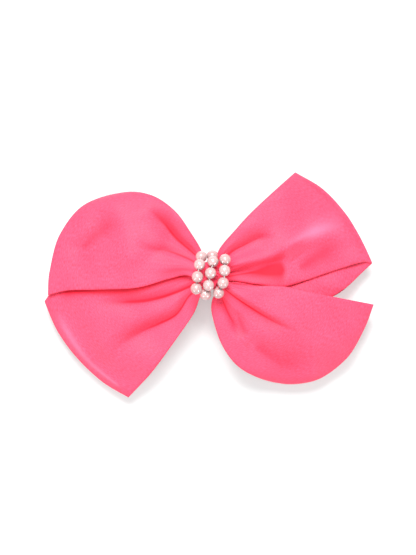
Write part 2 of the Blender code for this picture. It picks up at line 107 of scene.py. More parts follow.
def read_stations(values: Sequence[float], place: np.ndarray) -> np.ndarray:
    """Reads a list of station values smoothly.

    Args:
        values: one value at each station.
        place: where to read, counted in stations.
    Returns:
        The values there.
    """
    values = np.asarray(values, float)
    i = np.minimum(place.astype(int), len(values) - 2)
    before, after = np.maximum(i - 1, 0), np.minimum(i + 2, len(values) - 1)
    return catmull(values[before], values[i], values[i + 1], values[after], place - i)


class SmoothLine:
    """A Catmull-Rom curve through the given points, read by its share of length."""

    SAMPLES = 12

    def __init__(self, points: Plan, before: tuple | None = None, after: tuple | None = None) -> None:
        """Samples the curve through points.

        Args:
            points: what it runs through.
            before: the point that a line joined to its start comes from, so that the two run on smoothly.
            after: the same for its end.
        """
        points = np.asarray(points, float)
        first = 2 * points[0] - points[1] if before is None else np.asarray(before, float)
        last = 2 * points[-1] - points[-2] if after is None else np.asarray(after, float)
        ends = np.vstack([first, points, last])
        shares = np.arange(1, self.SAMPLES + 1)[:, None] / self.SAMPLES
        spans = [catmull(*ends[i : i + 4], shares) for i in range(len(points) - 1)]
        self.points = np.vstack([points[:1], *spans])
        steps = np.linalg.norm(np.diff(self.points, axis=0), axis=1)
        self.lengths = np.concatenate([[0.0], np.cumsum(steps)])

    def at(self, share: np.ndarray) -> np.ndarray:
        """The points at the given shares of the length.

        Args:
            share: shares from 0 to 1.
        Returns:
            One point for each share.
        """
        wanted = np.clip(share, 0.0, 1.0) * self.lengths[-1]
        columns = [np.interp(wanted, self.lengths, self.points[:, k]) for k in range(self.points.shape[1])]
        return np.stack(columns, axis=-1)

    def nearest(self, places: np.ndarray) -> tuple[np.ndarray, np.ndarray]:
        """How far places in the plan lie from the line.

        Args:
            places: an array whose last axis is (x, y).
        Returns:
            The distance, positive to the left of the line's direction, and the share of length there.
        """
        best = np.full(places.shape[:-1], 1e9)
        signed, share = np.zeros_like(best), np.zeros_like(best)
        for i, (a, b) in enumerate(zip(self.points[:-1], self.points[1:])):
            run = b - a
            length = np.hypot(*run)
            along = ((places - a) @ run) / length**2
            held = np.clip(along, 0.0, 1.0)
            off = places - (a + held[..., None] * run)
            distance = np.hypot(off[..., 0], off[..., 1])
            side = run[0] * off[..., 1] - run[1] * off[..., 0]
            closer = distance < best
            best = np.where(closer, distance, best)
            signed = np.where(closer, np.where(side >= 0, distance, -distance), signed)
            share = np.where(closer, (self.lengths[i] + held * length) / self.lengths[-1], share)
        return signed, share


# ---------------------------------------------------------------- node trees


class Bench:
    """Adds nodes to a tree and links them."""

    def __init__(self, tree: bpy.types.NodeTree) -> None:
        """Works on the given tree.

        Args:
            tree: the tree that nodes are added to.
        """
        self.tree = tree

    def add(self, kind: str, settings: dict | None = None, **inputs) -> bpy.types.Node:
        """Adds a node.

        Args:
            kind: the node's type name.
            settings: properties set on the node itself.
            inputs: values or sockets by input name, with _ for a space, or _0, _1 for an input's place.
        Returns:
            The node.
        """
        node = self.tree.nodes.new(kind)
        for name, value in (settings or {}).items():
            setattr(node, name, value)
        self.set(node, {int(n[1:]) if n[1:].isdigit() else n.replace("_", " "): v for n, v in inputs.items()})
        return node

    def set(self, node: bpy.types.Node, inputs: dict[str | int, object]) -> None:
        """Gives a node's inputs their values.

        Args:
            node: the node.
            inputs: values, or sockets to link, by the input's name or place.
        """
        for key, value in inputs.items():
            if isinstance(value, bpy.types.NodeSocket):
                self.tree.links.new(value, node.inputs[key])
            else:
                node.inputs[key].default_value = value

    def maths(self, operation: str, a: Given, b: Given = 0.0, c: Given = 0.0) -> bpy.types.NodeSocket:
        """A Math node's output.

        Args:
            operation: what it works out.
            a, b, c: its numbers.
        Returns:
            The output.
        """
        kind = "ShaderNodeMath"
        return self.add(kind, {"operation": operation}, _0=a, _1=b, _2=c).outputs[0]

    def blend(self, factor: Given, a: Given, b: Given) -> bpy.types.NodeSocket:
        """A colour that runs from a to b with the factor.

        Args:
            factor: 0 for a, 1 for b.
            a, b: the two colours.
        Returns:
            The colour.
        """
        node = self.add("ShaderNodeMix", {"data_type": "RGBA"}, _0=factor, _6=a, _7=b)
        return node.outputs[2]

    def spread(
        self, value: Given, low: float, high: float, new_low: float, new_high: float
    ) -> bpy.types.NodeSocket:
        """A value moved from one range to another, held at the ends.

        Args:
            value: what is moved.
            low, high: the range it comes from.
            new_low, new_high: the range it goes to.
        Returns:
            The moved value.
        """
        node = self.add("ShaderNodeMapRange", _0=value, _1=low, _2=high, _3=new_low, _4=new_high)
        return node.outputs[0]


def new_group(
    name: str, inputs: dict[str, tuple[str, object]], outputs: dict[str, str]
) -> tuple[Bench, bpy.types.Node, bpy.types.Node]:
    """Starts a shader node group.

    Args:
        name: the group's name.
        inputs: each input's kind and value.
        outputs: each output's kind.
    Returns:
        The bench, the group's input node and its output node.
    """
    group = bpy.data.node_groups.new(name, "ShaderNodeTree")
    for label, (kind, value) in inputs.items():
        socket = group.interface.new_socket(label, in_out="INPUT", socket_type=f"NodeSocket{kind}")
        if value is not None:
            socket.default_value = value
    for label, kind in outputs.items():
        group.interface.new_socket(label, in_out="OUTPUT", socket_type=f"NodeSocket{kind}")
    bench = Bench(group)
    return bench, bench.add("NodeGroupInput"), bench.add("NodeGroupOutput")


def weave_group() -> bpy.types.NodeTree:
    """A fine satin weave: diagonal floats of thread over an uneven ground.

    Returns:
        The node group, with a height and a shade that change over the surface.
    """
    wanted = {"Place": ("Vector", None), "Thread": ("Float", 0.3), "Unevenness": ("Float", 0.5)}
    bench, given, out = new_group("satin_weave", wanted, {"Height": "Float", "Shade": "Float"})
    pitch = bench.maths("DIVIDE", 1.0, given.outputs["Thread"])
    place = bench.add("ShaderNodeVectorMath", {"operation": "SCALE"}, _0=given.outputs["Place"], Scale=pitch)
    turned = bench.add("ShaderNodeMapping", Vector=place.outputs[0], Rotation=(0, 0, math.radians(63)))
    twill = bench.add("ShaderNodeTexWave", Vector=turned.outputs[0], Scale=0.32, Distortion=2.2, Detail=2.0)
    slubs = bench.add("ShaderNodeMapping", Vector=place.outputs[0], Scale=(0.22, 0.9, 1.0))
    noise = bench.add("ShaderNodeTexNoise", Vector=slubs.outputs[0], Scale=1.3, Detail=4.0, Roughness=0.6)
    uneven, cloud = given.outputs["Unevenness"], noise.outputs["Fac"]
    mixed = bench.add("ShaderNodeMix", _0=uneven, _2=twill.outputs["Fac"], _3=cloud)
    bench.set(out, {"Height": mixed.outputs[0], "Shade": bench.spread(cloud, 0.36, 0.64, 0.0, 1.0)})
    return bench.tree


def grain_group() -> bpy.types.NodeTree:
    """Fine lines left by rolling and polishing, with a few scuffs.

    Returns:
        The node group, with a height and a mask of the scuffs.
    """
    wanted = {"Place": ("Vector", None), "Stretch": ("Vector", (60, 2500, 2500))}
    wanted.update({"Scuffs": ("Float", 0.5), "Edge": ("Float", 0.5)})
    made = {"Height": "Float", "Scuff": "Float", "Wear": "Float"}
    bench, given, out = new_group("metal_grain", wanted, made)
    place, stretch = given.outputs["Place"], given.outputs["Stretch"]
    lined = bench.add("ShaderNodeVectorMath", {"operation": "MULTIPLY"}, _0=place, _1=stretch)
    lines = bench.add("ShaderNodeTexNoise", Vector=lined.outputs[0], Scale=1.0, Detail=5.0, Roughness=0.7)
    patches = bench.add("ShaderNodeTexNoise", Vector=place, Scale=260.0, Detail=6.0, Roughness=0.65)
    worn = bench.spread(patches.outputs["Fac"], 0.52, 0.72, 0.0, 1.0)
    edge = bench.spread(given.outputs["Edge"], 0.51, 0.58, 0.0, 1.0)
    rubbed = bench.maths("MULTIPLY", edge, patches.outputs["Fac"])
    scuffed = bench.maths("MULTIPLY", worn, given.outputs["Scuffs"])
    bench.set(out, {"Height": lines.outputs["Fac"], "Scuff": scuffed, "Wear": rubbed})
    return bench.tree


def fibre_group() -> bpy.types.NodeTree:
    """Short tangled fibres, as in felt and spun thread.

    Returns:
        The node group, with a height and a tone that change over the surface.
    """
    wanted = {"Place": ("Vector", None), "Fibre": ("Float", 0.2)}
    bench, given, out = new_group("tangled_fibres", wanted, {"Height": "Float", "Tone": "Float"})
    scale = bench.maths("DIVIDE", 1.0 / MM, given.outputs["Fibre"])
    place = given.outputs["Place"]
    fine = bench.add("ShaderNodeTexNoise", Vector=place, Scale=scale, Detail=4.0, Distortion=1.5)
    broad = bench.maths("MULTIPLY", scale, 0.12)
    cloud = bench.add("ShaderNodeTexNoise", Vector=place, Scale=broad, Detail=3.0)
    half = bench.maths("MULTIPLY", fine.outputs["Fac"], 0.5)
    mixed = bench.maths("MULTIPLY_ADD", cloud.outputs["Fac"], 0.5, half)
    bench.set(out, {"Height": fine.outputs["Fac"], "Tone": mixed})
    return bench.tree


def new_material(name: str) -> tuple[bpy.types.Material, Bench, bpy.types.Node]:
    """Starts a material.

    Args:
        name: the material's name.
    Returns:
        The material, a bench on its tree, and its Principled shader.
    """
    material = bpy.data.materials.new(name)
    material.use_nodes = True
    return material, Bench(material.node_tree), material.node_tree.nodes["Principled BSDF"]


def scaled(colour: Colour, factor: float, most: float = 1.0) -> tuple[float, float, float, float]:
    """A colour made lighter or darker.

    Args:
        colour: what it is made from.
        factor: how much lighter.
        most: the most that a channel may reach.
    Returns:
        The colour with its alpha.
    """
    return (*(min(c * factor, most) for c in colour), 1)


# ---------------------------------------------------------------- finishes


@dataclass(frozen=True)
class Satin:
    """Dyed satin, with painted shade in its folds and a painted highlight along some ridges."""

    name: str
    colour: Colour = (0.90, 0.057, 0.119)
    # The next three colours are painted shade in the folds, a darker painted shadow along closed crease
    # lines, and a painted highlight on ridges.
    painted_shade: Colour = (0.80, 0.010, 0.034)
    closed: Colour = (0.36, 0.006, 0.022)
    painted_highlight: Colour = (0.93, 0.18, 0.31)
    thread: float = 0.34
    roughness: float = 0.6
    sheen: float = 0.15
    relief: float = 0.05

    def build(self, weave: bpy.types.NodeTree) -> bpy.types.Material:
        """Makes the material. It reads the mesh's UV map, in millimetres, and its fold attribute,
        which holds the painted shade, painted shadow and painted highlight.

        Args:
            weave: the satin weave group.
        Returns:
            The material.
        """
        material, bench, shader = new_material(self.name)
        place = bench.add("ShaderNodeUVMap", {"uv_map": "cloth"}).outputs[0]
        values = {"Place": place, "Thread": self.thread, "Unevenness": 0.6}
        cloth = bench.add("ShaderNodeGroup", {"node_tree": weave}, **values)
        # The fold attribute paints shade from 0 to 1, a darker painted shadow from 0.75 to 1.6, and a painted
        # highlight below 0.
        fold = bench.add("ShaderNodeAttribute", {"attribute_name": "fold"}).outputs["Fac"]
        painted_highlight_share = bench.maths("MULTIPLY", fold, -1.0)
        lowered, lifted = scaled(self.colour, 0.72), scaled(self.colour, 1.34, 0.97)
        grained = bench.blend(cloth.outputs["Shade"], lowered, lifted)
        colour = bench.blend(bench.spread(fold, 0.0, 1.0, 0.0, 1.0), grained, (*self.painted_shade, 1))
        colour = bench.blend(bench.spread(fold, 0.75, 1.6, 0.0, 1.0), colour, (*self.closed, 1))
        colour = bench.blend(bench.spread(painted_highlight_share, 0.0, 1.0, 0.0, 1.0), colour, (*self.painted_highlight, 1))
        rough = bench.spread(cloth.outputs["Shade"], 0.0, 1.0, self.roughness - 0.05, self.roughness + 0.08)
        height = cloth.outputs["Height"]
        bump = bench.add("ShaderNodeBump", Height=height, Strength=0.35, Distance=self.relief * MM)
        bench.set(shader, {"Base Color": colour, "Roughness": rough, "Normal": bump.outputs[0]})
        bench.set(shader, {"Specular IOR Level": 0.2, "Sheen Weight": self.sheen, "Sheen Roughness": 0.4})
        bench.set(shader, {"Sheen Tint": (1.0, 0.62, 0.74, 1.0)})
        return material


@dataclass(frozen=True)
class Pearl:
    """White pearl coating over plastic, a little uneven from bead to bead, with a painted highlight towards
    each bead's outline.
    """

    name: str
    colour: Colour = (0.56, 0.405, 0.395)
    shade: Colour = (0.40, 0.23, 0.235)
    painted_rim_highlight: Colour = (0.72, 0.56, 0.54)

    def build(self) -> bpy.types.Material:
        """Makes the material. It reads the beads' own tint attribute.

        Returns:
            The material.
        """
        material, bench, shader = new_material(self.name)
        place = bench.add("ShaderNodeTexCoord").outputs["Object"]
        tint = bench.add("ShaderNodeAttribute", {"attribute_name": "tint"}).outputs["Fac"]
        cloud = bench.add("ShaderNodeTexNoise", Vector=place, Scale=900.0, Detail=3.0, Roughness=0.55)
        mottle = bench.maths("MULTIPLY_ADD", tint, 0.5, bench.maths("MULTIPLY", cloud.outputs["Fac"], 0.6))
        # A painted highlight that grows towards each bead's outline as it turns from view.
        facing = bench.add("ShaderNodeLayerWeight", Blend=0.35).outputs["Facing"]
        body = bench.blend(mottle, (*self.colour, 1), (*self.shade, 1))
        painted_rim_highlight = bench.spread(facing, 0.35, 0.95, 0.0, 0.6)
        bench.set(shader, {"Base Color": bench.blend(painted_rim_highlight, body, (*self.painted_rim_highlight, 1)), "Roughness": 0.3})
        bench.set(shader, {"Specular IOR Level": 0.8, "Coat Weight": 1.0, "Coat Roughness": 0.05})
        bench.set(shader, {"Subsurface Weight": 0.2, "Subsurface Radius": (0.0008, 0.0004, 0.0004)})
        bench.set(shader, {"Subsurface Scale": 1.0})
        return material


@dataclass(frozen=True)
class Fibre:
    """Felt or spun thread: matt, with tangled fibres that catch the light."""

    name: str
    colour: Colour
    fibre: float = 0.2
    relief: float = 0.12
    sheen: float = 0.5

    def build(self, fibres: bpy.types.NodeTree) -> bpy.types.Material:
        """Makes the material.

        Args:
            fibres: the tangled fibre group.
        Returns:
            The material.
        """
        material, bench, shader = new_material(self.name)
        place = bench.add("ShaderNodeTexCoord").outputs["Object"]
        tangle = bench.add("ShaderNodeGroup", {"node_tree": fibres}, Place=place, Fibre=self.fibre)
        tone = bench.spread(tangle.outputs["Tone"], 0.35, 0.65, 0.0, 1.0)
        height = tangle.outputs["Height"]
        bump = bench.add("ShaderNodeBump", Height=height, Strength=0.8, Distance=self.relief * MM)
        colour = bench.blend(tone, scaled(self.colour, 0.7), scaled(self.colour, 1.3, 0.95))
        bench.set(shader, {"Base Color": colour, "Normal": bump.outputs[0], "Roughness": 0.92})
        bench.set(shader, {"Specular IOR Level": 0.15, "Sheen Weight": self.sheen})
        return material


@dataclass(frozen=True)
class Nylon:
    """Clear nylon line, cloudy where it has been bent."""

    name: str
    colour: Colour = (0.80, 0.68, 0.68)

    def build(self) -> bpy.types.Material:
        """Makes the material.

        Returns:
            The material.
        """
        material, bench, shader = new_material(self.name)
        place = bench.add("ShaderNodeTexCoord").outputs["Object"]
        cloud = bench.add("ShaderNodeTexNoise", Vector=place, Scale=1200.0, Detail=3.0)
        rough = bench.spread(cloud.outputs["Fac"], 0.3, 0.7, 0.18, 0.45)
        tone = bench.blend(cloud.outputs["Fac"], (*self.colour, 1), scaled(self.colour, 0.85))
        bench.set(shader, {"Base Color": tone, "Roughness": rough, "Transmission Weight": 0.35, "IOR": 1.53})
        return material


@dataclass(frozen=True)
class Metal:
    """Rolled sheet metal with a fine grain and a few scuffs."""

    name: str
    colour: Colour
    roughness: float
    stretch: tuple[float, float, float] = (60, 2500, 2500)
    scuffs: float = 0.5

    def build(self, grain: bpy.types.NodeTree) -> bpy.types.Material:
        """Makes the material.

        Args:
            grain: the metal grain group.
        Returns:
            The material.
        """
        material, bench, shader = new_material(self.name)
        place = bench.add("ShaderNodeTexCoord").outputs["Object"]
        edge = bench.add("ShaderNodeNewGeometry").outputs["Pointiness"]
        values = {"Place": place, "Stretch": self.stretch, "Scuffs": self.scuffs, "Edge": edge}
        marks = bench.add("ShaderNodeGroup", {"node_tree": grain}, **values)
        colour = bench.blend(marks.outputs["Scuff"], (*self.colour, 1), scaled(self.colour, 0.72))
        colour = bench.blend(marks.outputs["Wear"], colour, scaled(self.colour, 1.25, 0.95))
        rough = bench.spread(marks.outputs["Scuff"], 0.0, 1.0, self.roughness, self.roughness + 0.25)
        bump = bench.add("ShaderNodeBump", Height=marks.outputs["Height"], Strength=0.25, Distance=0.02 * MM)
        bench.set(shader, {"Base Color": colour, "Roughness": rough, "Normal": bump.outputs[0]})
        bench.set(shader, {"Metallic": 1.0})
        return material


# ---------------------------------------------------------------- meshes


def link_object(name: str, data: bpy.types.ID) -> bpy.types.Object:
    """Puts data in the scene as a new object at the origin.

    Args:
        name: the object's name.
        data: its mesh, light or camera.
    Returns:
        The object.
    """
    made = bpy.data.objects.new(name, data)
    bpy.context.scene.collection.objects.link(made)
    return made


def mesh_object(
    name: str, points: np.ndarray, faces: np.ndarray, material: bpy.types.Material
) -> bpy.types.Object:
    """A mesh in the frame's metres from places in millimetres.

    Args:
        name: the piece's name.
        points: places counted from the frame's origin, in millimetres.
        faces: four point numbers for each face.
        material: its material.
    Returns:
        The new object, at the origin.
    """
    mesh = bpy.data.meshes.new(name)
    mesh.from_pydata((points * MM).tolist(), [], faces.tolist())
    mesh.shade_smooth()
    mesh.materials.append(material)
    return link_object(name, mesh)


def add_cloth_map(obj: bpy.types.Object, across: np.ndarray, along: np.ndarray) -> None:
    """Gives a mesh a UV map in millimetres of cloth from one pair of values for each point.

    Args:
        obj: the mesh object.
        across: places over the cloth's width, one for each point.
        along: places along it.
    """
    layer = obj.data.uv_layers.new(name="cloth")
    corners = np.zeros(len(obj.data.loops), int)
    obj.data.loops.foreach_get("vertex_index", corners)
    layer.data.foreach_set("uv", np.stack([across, along], axis=-1)[corners].astype(np.float32).ravel())


def add_values(obj: bpy.types.Object, name: str, values: np.ndarray) -> None:
    """Stores one number for each point of a mesh.

    Args:
        obj: the mesh object.
        name: the attribute's name.
        values: the numbers.
    """
    attribute = obj.data.attributes.new(name, "FLOAT", "POINT")
    attribute.data.foreach_set("value", values.astype(np.float32))


def apply_modifiers(obj: bpy.types.Object) -> None:
    """Bakes an object's modifiers into its mesh.

    Args:
        obj: the object, which keeps none of them.
    """
    graph = bpy.context.evaluated_depsgraph_get()
    baked = bpy.data.meshes.new_from_object(obj.evaluated_get(graph))
    obj.modifiers.clear()
    obj.data = baked


def new_tree(name: str, inputs: dict[str, str]) -> tuple[Bench, bpy.types.Node, bpy.types.Node]:
    """Starts a geometry node tree.

    Args:
        name: the tree's name.
        inputs: each input's kind, after the geometry itself.
    Returns:
        The bench, the tree's input node and its output node.
    """
    tree = bpy.data.node_groups.new(name, "GeometryNodeTree")
    for label, kind in {"Geometry": "Geometry", **inputs}.items():
        tree.interface.new_socket(label, in_out="INPUT", socket_type=f"NodeSocket{kind}")
    tree.interface.new_socket("Geometry", in_out="OUTPUT", socket_type="NodeSocketGeometry")
    bench = Bench(tree)
    return bench, bench.add("NodeGroupInput"), bench.add("NodeGroupOutput")


def end_tree(
    bench: Bench, given: bpy.types.Node, out: bpy.types.Node, geometry: bpy.types.NodeSocket
) -> bpy.types.NodeTree:
    """Ends a tree: makes its instances real and gives them the material.

    Args:
        bench: the bench on the tree.
        given: its input node, which has a Material.
        out: its output node.
        geometry: what it has made.
    Returns:
        The finished tree.
    """
    real = bench.add("GeometryNodeRealizeInstances", Geometry=geometry)
    done = bench.add("GeometryNodeSetMaterial", Geometry=real.outputs[0], Material=given.outputs["Material"])
    bench.set(out, {0: done.outputs[0]})
    return bench.tree


def strung_tree() -> bpy.types.NodeTree:
    """One item at each point, turned to its aim, a little uneven in size and tint.

    Returns:
        The tree.
    """
    wanted = {"Item": "Object", "Unevenness": "Float", "Seed": "Int", "Material": "Material"}
    bench, given, out = new_tree("strung_items", wanted)
    item = bench.add("GeometryNodeObjectInfo", Object=given.outputs["Item"]).outputs["Geometry"]
    aim = bench.add("GeometryNodeInputNamedAttribute", {"data_type": "FLOAT_VECTOR"}, Name="aim").outputs[0]
    turned = bench.add("FunctionNodeAlignRotationToVector", {"axis": "Z"}, Vector=aim).outputs[0]
    least = bench.maths("SUBTRACT", 1.0, given.outputs["Unevenness"])
    size = bench.add("FunctionNodeRandomValue", _2=least, _3=1.0, _8=given.outputs["Seed"]).outputs[1]
    points = given.outputs["Geometry"]
    laid = bench.add(
        "GeometryNodeInstanceOnPoints", Points=points, Instance=item, Rotation=turned, Scale=size
    )
    later = bench.maths("ADD", given.outputs["Seed"], 7.0)
    tint = bench.add("FunctionNodeRandomValue", _2=0.0, _3=1.0, _8=later).outputs[1]
    settings = {"data_type": "FLOAT", "domain": "INSTANCE"}
    shades = {"Geometry": laid.outputs[0], "Name": "tint", "Value": tint}
    tinted = bench.add("GeometryNodeStoreNamedAttribute", settings, **shades)
    return end_tree(bench, given, out, tinted.outputs[0])


def line_tree() -> bpy.types.NodeTree:
    """A round line along the edges of a path, with its bends eased.

    Returns:
        The tree.
    """
    bench, given, out = new_tree("round_line", {"Radius": "Float", "Bend": "Float", "Material": "Material"})
    path = bench.add("GeometryNodeMeshToCurve", Mesh=given.outputs["Geometry"]).outputs[0]
    eased = bench.add("GeometryNodeFilletCurve", Curve=path, Radius=given.outputs["Bend"])
    radius = given.outputs["Radius"]
    ring = bench.add("GeometryNodeCurvePrimitiveCircle", Resolution=10, Radius=radius).outputs[0]
    tube = bench.add("GeometryNodeCurveToMesh", Curve=eased.outputs[0], Profile_Curve=ring, Fill_Caps=True)
    return end_tree(bench, given, out, tube.outputs[0])


def grow(name: str, points: np.ndarray, edges: list, tree: bpy.types.NodeTree, **inputs) -> bpy.types.Object:
    """Bakes a geometry node tree over points in millimetres.

    Args:
        name: the piece's name.
        points: places counted from the frame's origin.
        edges: pairs of point numbers.
        tree: the tree to run.
        inputs: the tree's inputs by name, and aim, one direction for each point.
    Returns:
        The finished object, at the origin.
    """
    mesh = bpy.data.meshes.new(name)
    mesh.from_pydata((np.asarray(points) * MM).tolist(), edges, [])
    aim = inputs.pop("aim", None)
    if aim is not None:
        stored = mesh.attributes.new("aim", "FLOAT_VECTOR", "POINT")
        stored.data.foreach_set("vector", np.float32(aim).ravel())
    made = link_object(name, mesh)
    modifier = made.modifiers.new(tree.name, "NODES")
    modifier.node_group = tree
    for socket in tree.interface.items_tree:
        if socket.in_out == "INPUT" and socket.name in inputs:
            modifier[socket.identifier] = inputs[socket.name]
    apply_modifiers(made)
    made.data.shade_smooth()
    return made


def merged_copy(node: str, name: str, material: bpy.types.Material) -> bpy.types.Object:
    """A copy of a CAD node's mesh with its loose triangles joined.

    Args:
        node: the CAD node.
        name: the copy's name.
        material: its material.
    Returns:
        The copy, at the origin.
    """
    mesh = bpy.data.meshes.new(name)
    shape = bmesh.new()
    shape.from_mesh(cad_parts[node].data)
    bmesh.ops.remove_doubles(shape, verts=shape.verts, dist=0.002 * MM)
    bmesh.ops.dissolve_limit(shape, angle_limit=math.radians(1.0), verts=shape.verts, edges=shape.edges)
    shape.to_mesh(mesh)
    shape.free()
    mesh.materials.append(material)
    return link_object(name, mesh)


def round_edges(obj: bpy.types.Object, width: float, steps: int = 2) -> None:
    """Bevels an object's sharp edges and shades it smooth between them.

    Args:
        obj: the object.
        width: the bevel's width in millimetres.
        steps: how many faces it has across.
    """
    bevel = obj.modifiers.new("rounded", "BEVEL")
    bevel.width, bevel.segments = width * MM, steps
    bevel.limit_method, bevel.angle_limit = "ANGLE", math.radians(32)
    apply_modifiers(obj)
    obj.data.shade_smooth()
    obj.data.set_sharp_from_angle(angle=math.radians(40))


# ---------------------------------------------------------------- the ribbon


@dataclass(frozen=True)
class Crease:
    """A fold line pressed into a loop's face, or raised from it where the depth is negative.

    depth is at the line's start and end, and left and right are how far its flanks reach to either side.
    round is the rounding at its bottom, and tail the share of the line over which it dies out. tone is how
    strongly painted shade darkens the cloth there, or painted highlight pales it where negative, with its own
    reach to the left and right, and onset the share over which it sets in. The last field is how dark the
    painted shadow along the closed line at the bottom is.
    """

    line: Plan
    depth: tuple[float, float]
    left: float
    right: float
    round: float = 0.25
    tail: float = 0.35
    tone: tuple[float, float, float] = (0.5, 1.2, 1.2)
    onset: float = 0.06
    crease_shadow: float = 0.0

    # A width or a reach is its value at the line's start, and what it gains by the line's end.
    CREASE_SHADOW_WIDTH = (0.2, 0.25)
    CREASE_SHADOW_FADE = (0.35, 0.85)
    SHADE_REACH = (0.3, 1.05)
    SHADE_POWER = 1.6
    PRESS_REACH = (0.55, 0.9)
    PRESS_POWER = 1.25

    def line_shade(self, places: np.ndarray) -> np.ndarray:
        """How dark the painted shadow along the closed line at the bottom of the crease is at places in the
        plan.

        Args:
            places: an array whose last axis is (x, y).
        Returns:
            The painted shadow's darkness, from 0 to the crease's last field.
        """
        signed, share = SmoothLine(self.line).nearest(places)
        width = self.CREASE_SHADOW_WIDTH[0] + self.CREASE_SHADOW_WIDTH[1] * share
        return self.crease_shadow * np.exp(-((signed / width) ** 2)) * (1 - smoothstep(*self.CREASE_SHADOW_FADE, share))

    def shade(self, places: np.ndarray) -> np.ndarray:
        """How much painted shade the crease puts on the cloth at places in the plan, or painted highlight
        where negative.

        Args:
            places: an array whose last axis is (x, y).
        Returns:
            The share of the painted shade colour, or of the painted highlight colour where negative.
        """
        signed, share = SmoothLine(self.line).nearest(places)
        strength, left, right = self.tone
        reach = np.where(signed >= 0, left, right) * (self.SHADE_REACH[0] + self.SHADE_REACH[1] * share)
        fade = 1 - smoothstep(1 - max(self.tail, 0.1), 1.0, share)
        spot = np.exp(-((np.abs(signed) / reach) ** self.SHADE_POWER))
        return strength * spot * fade * smoothstep(0.0, self.onset, share)

    def press(self, places: np.ndarray) -> np.ndarray:
        """How far the crease lowers the cloth at places in the plan.

        Args:
            places: an array whose last axis is (x, y).
        Returns:
            Millimetres downwards.
        """
        signed, share = SmoothLine(self.line).nearest(places)
        spread = self.PRESS_REACH[0] + self.PRESS_REACH[1] * share
        reach = np.where(signed >= 0, self.left, self.right) * spread
        lifted = np.sqrt(signed**2 + self.round**2) - self.round
        depth = self.depth[0] + (self.depth[1] - self.depth[0]) * share
        fade = 1 - smoothstep(1 - self.tail, 1.0, share)
        return depth * np.exp(-((lifted / reach) ** self.PRESS_POWER)) * fade


# The cloth's slow waves: each one's length in millimetres, direction in radians and height in millimetres.
WAVES = ((11.0, 0.3, 0.16), (15.0, 1.4, 0.22), (19.0, 2.3, 0.26), (24.0, 0.9, 0.3), (8.0, 1.9, 0.09))


def crumple(plan: np.ndarray) -> np.ndarray:
    """Slow uneven waves over the whole cloth.

    Args:
        plan: places whose last axis is (x, y).
    Returns:
        The heights in millimetres.
    """
    total = np.zeros(plan.shape[:-1])
    for length, turn, height in WAVES:
        run = plan[..., 0] * math.cos(turn) + plan[..., 1] * math.sin(turn)
        bend = 3.0 * np.sin(plan[..., 1] / 13.0 + 2.7 * turn)
        total += height * np.sin(2 * np.pi * (run + bend) / length + 5.1 * turn)
    return total


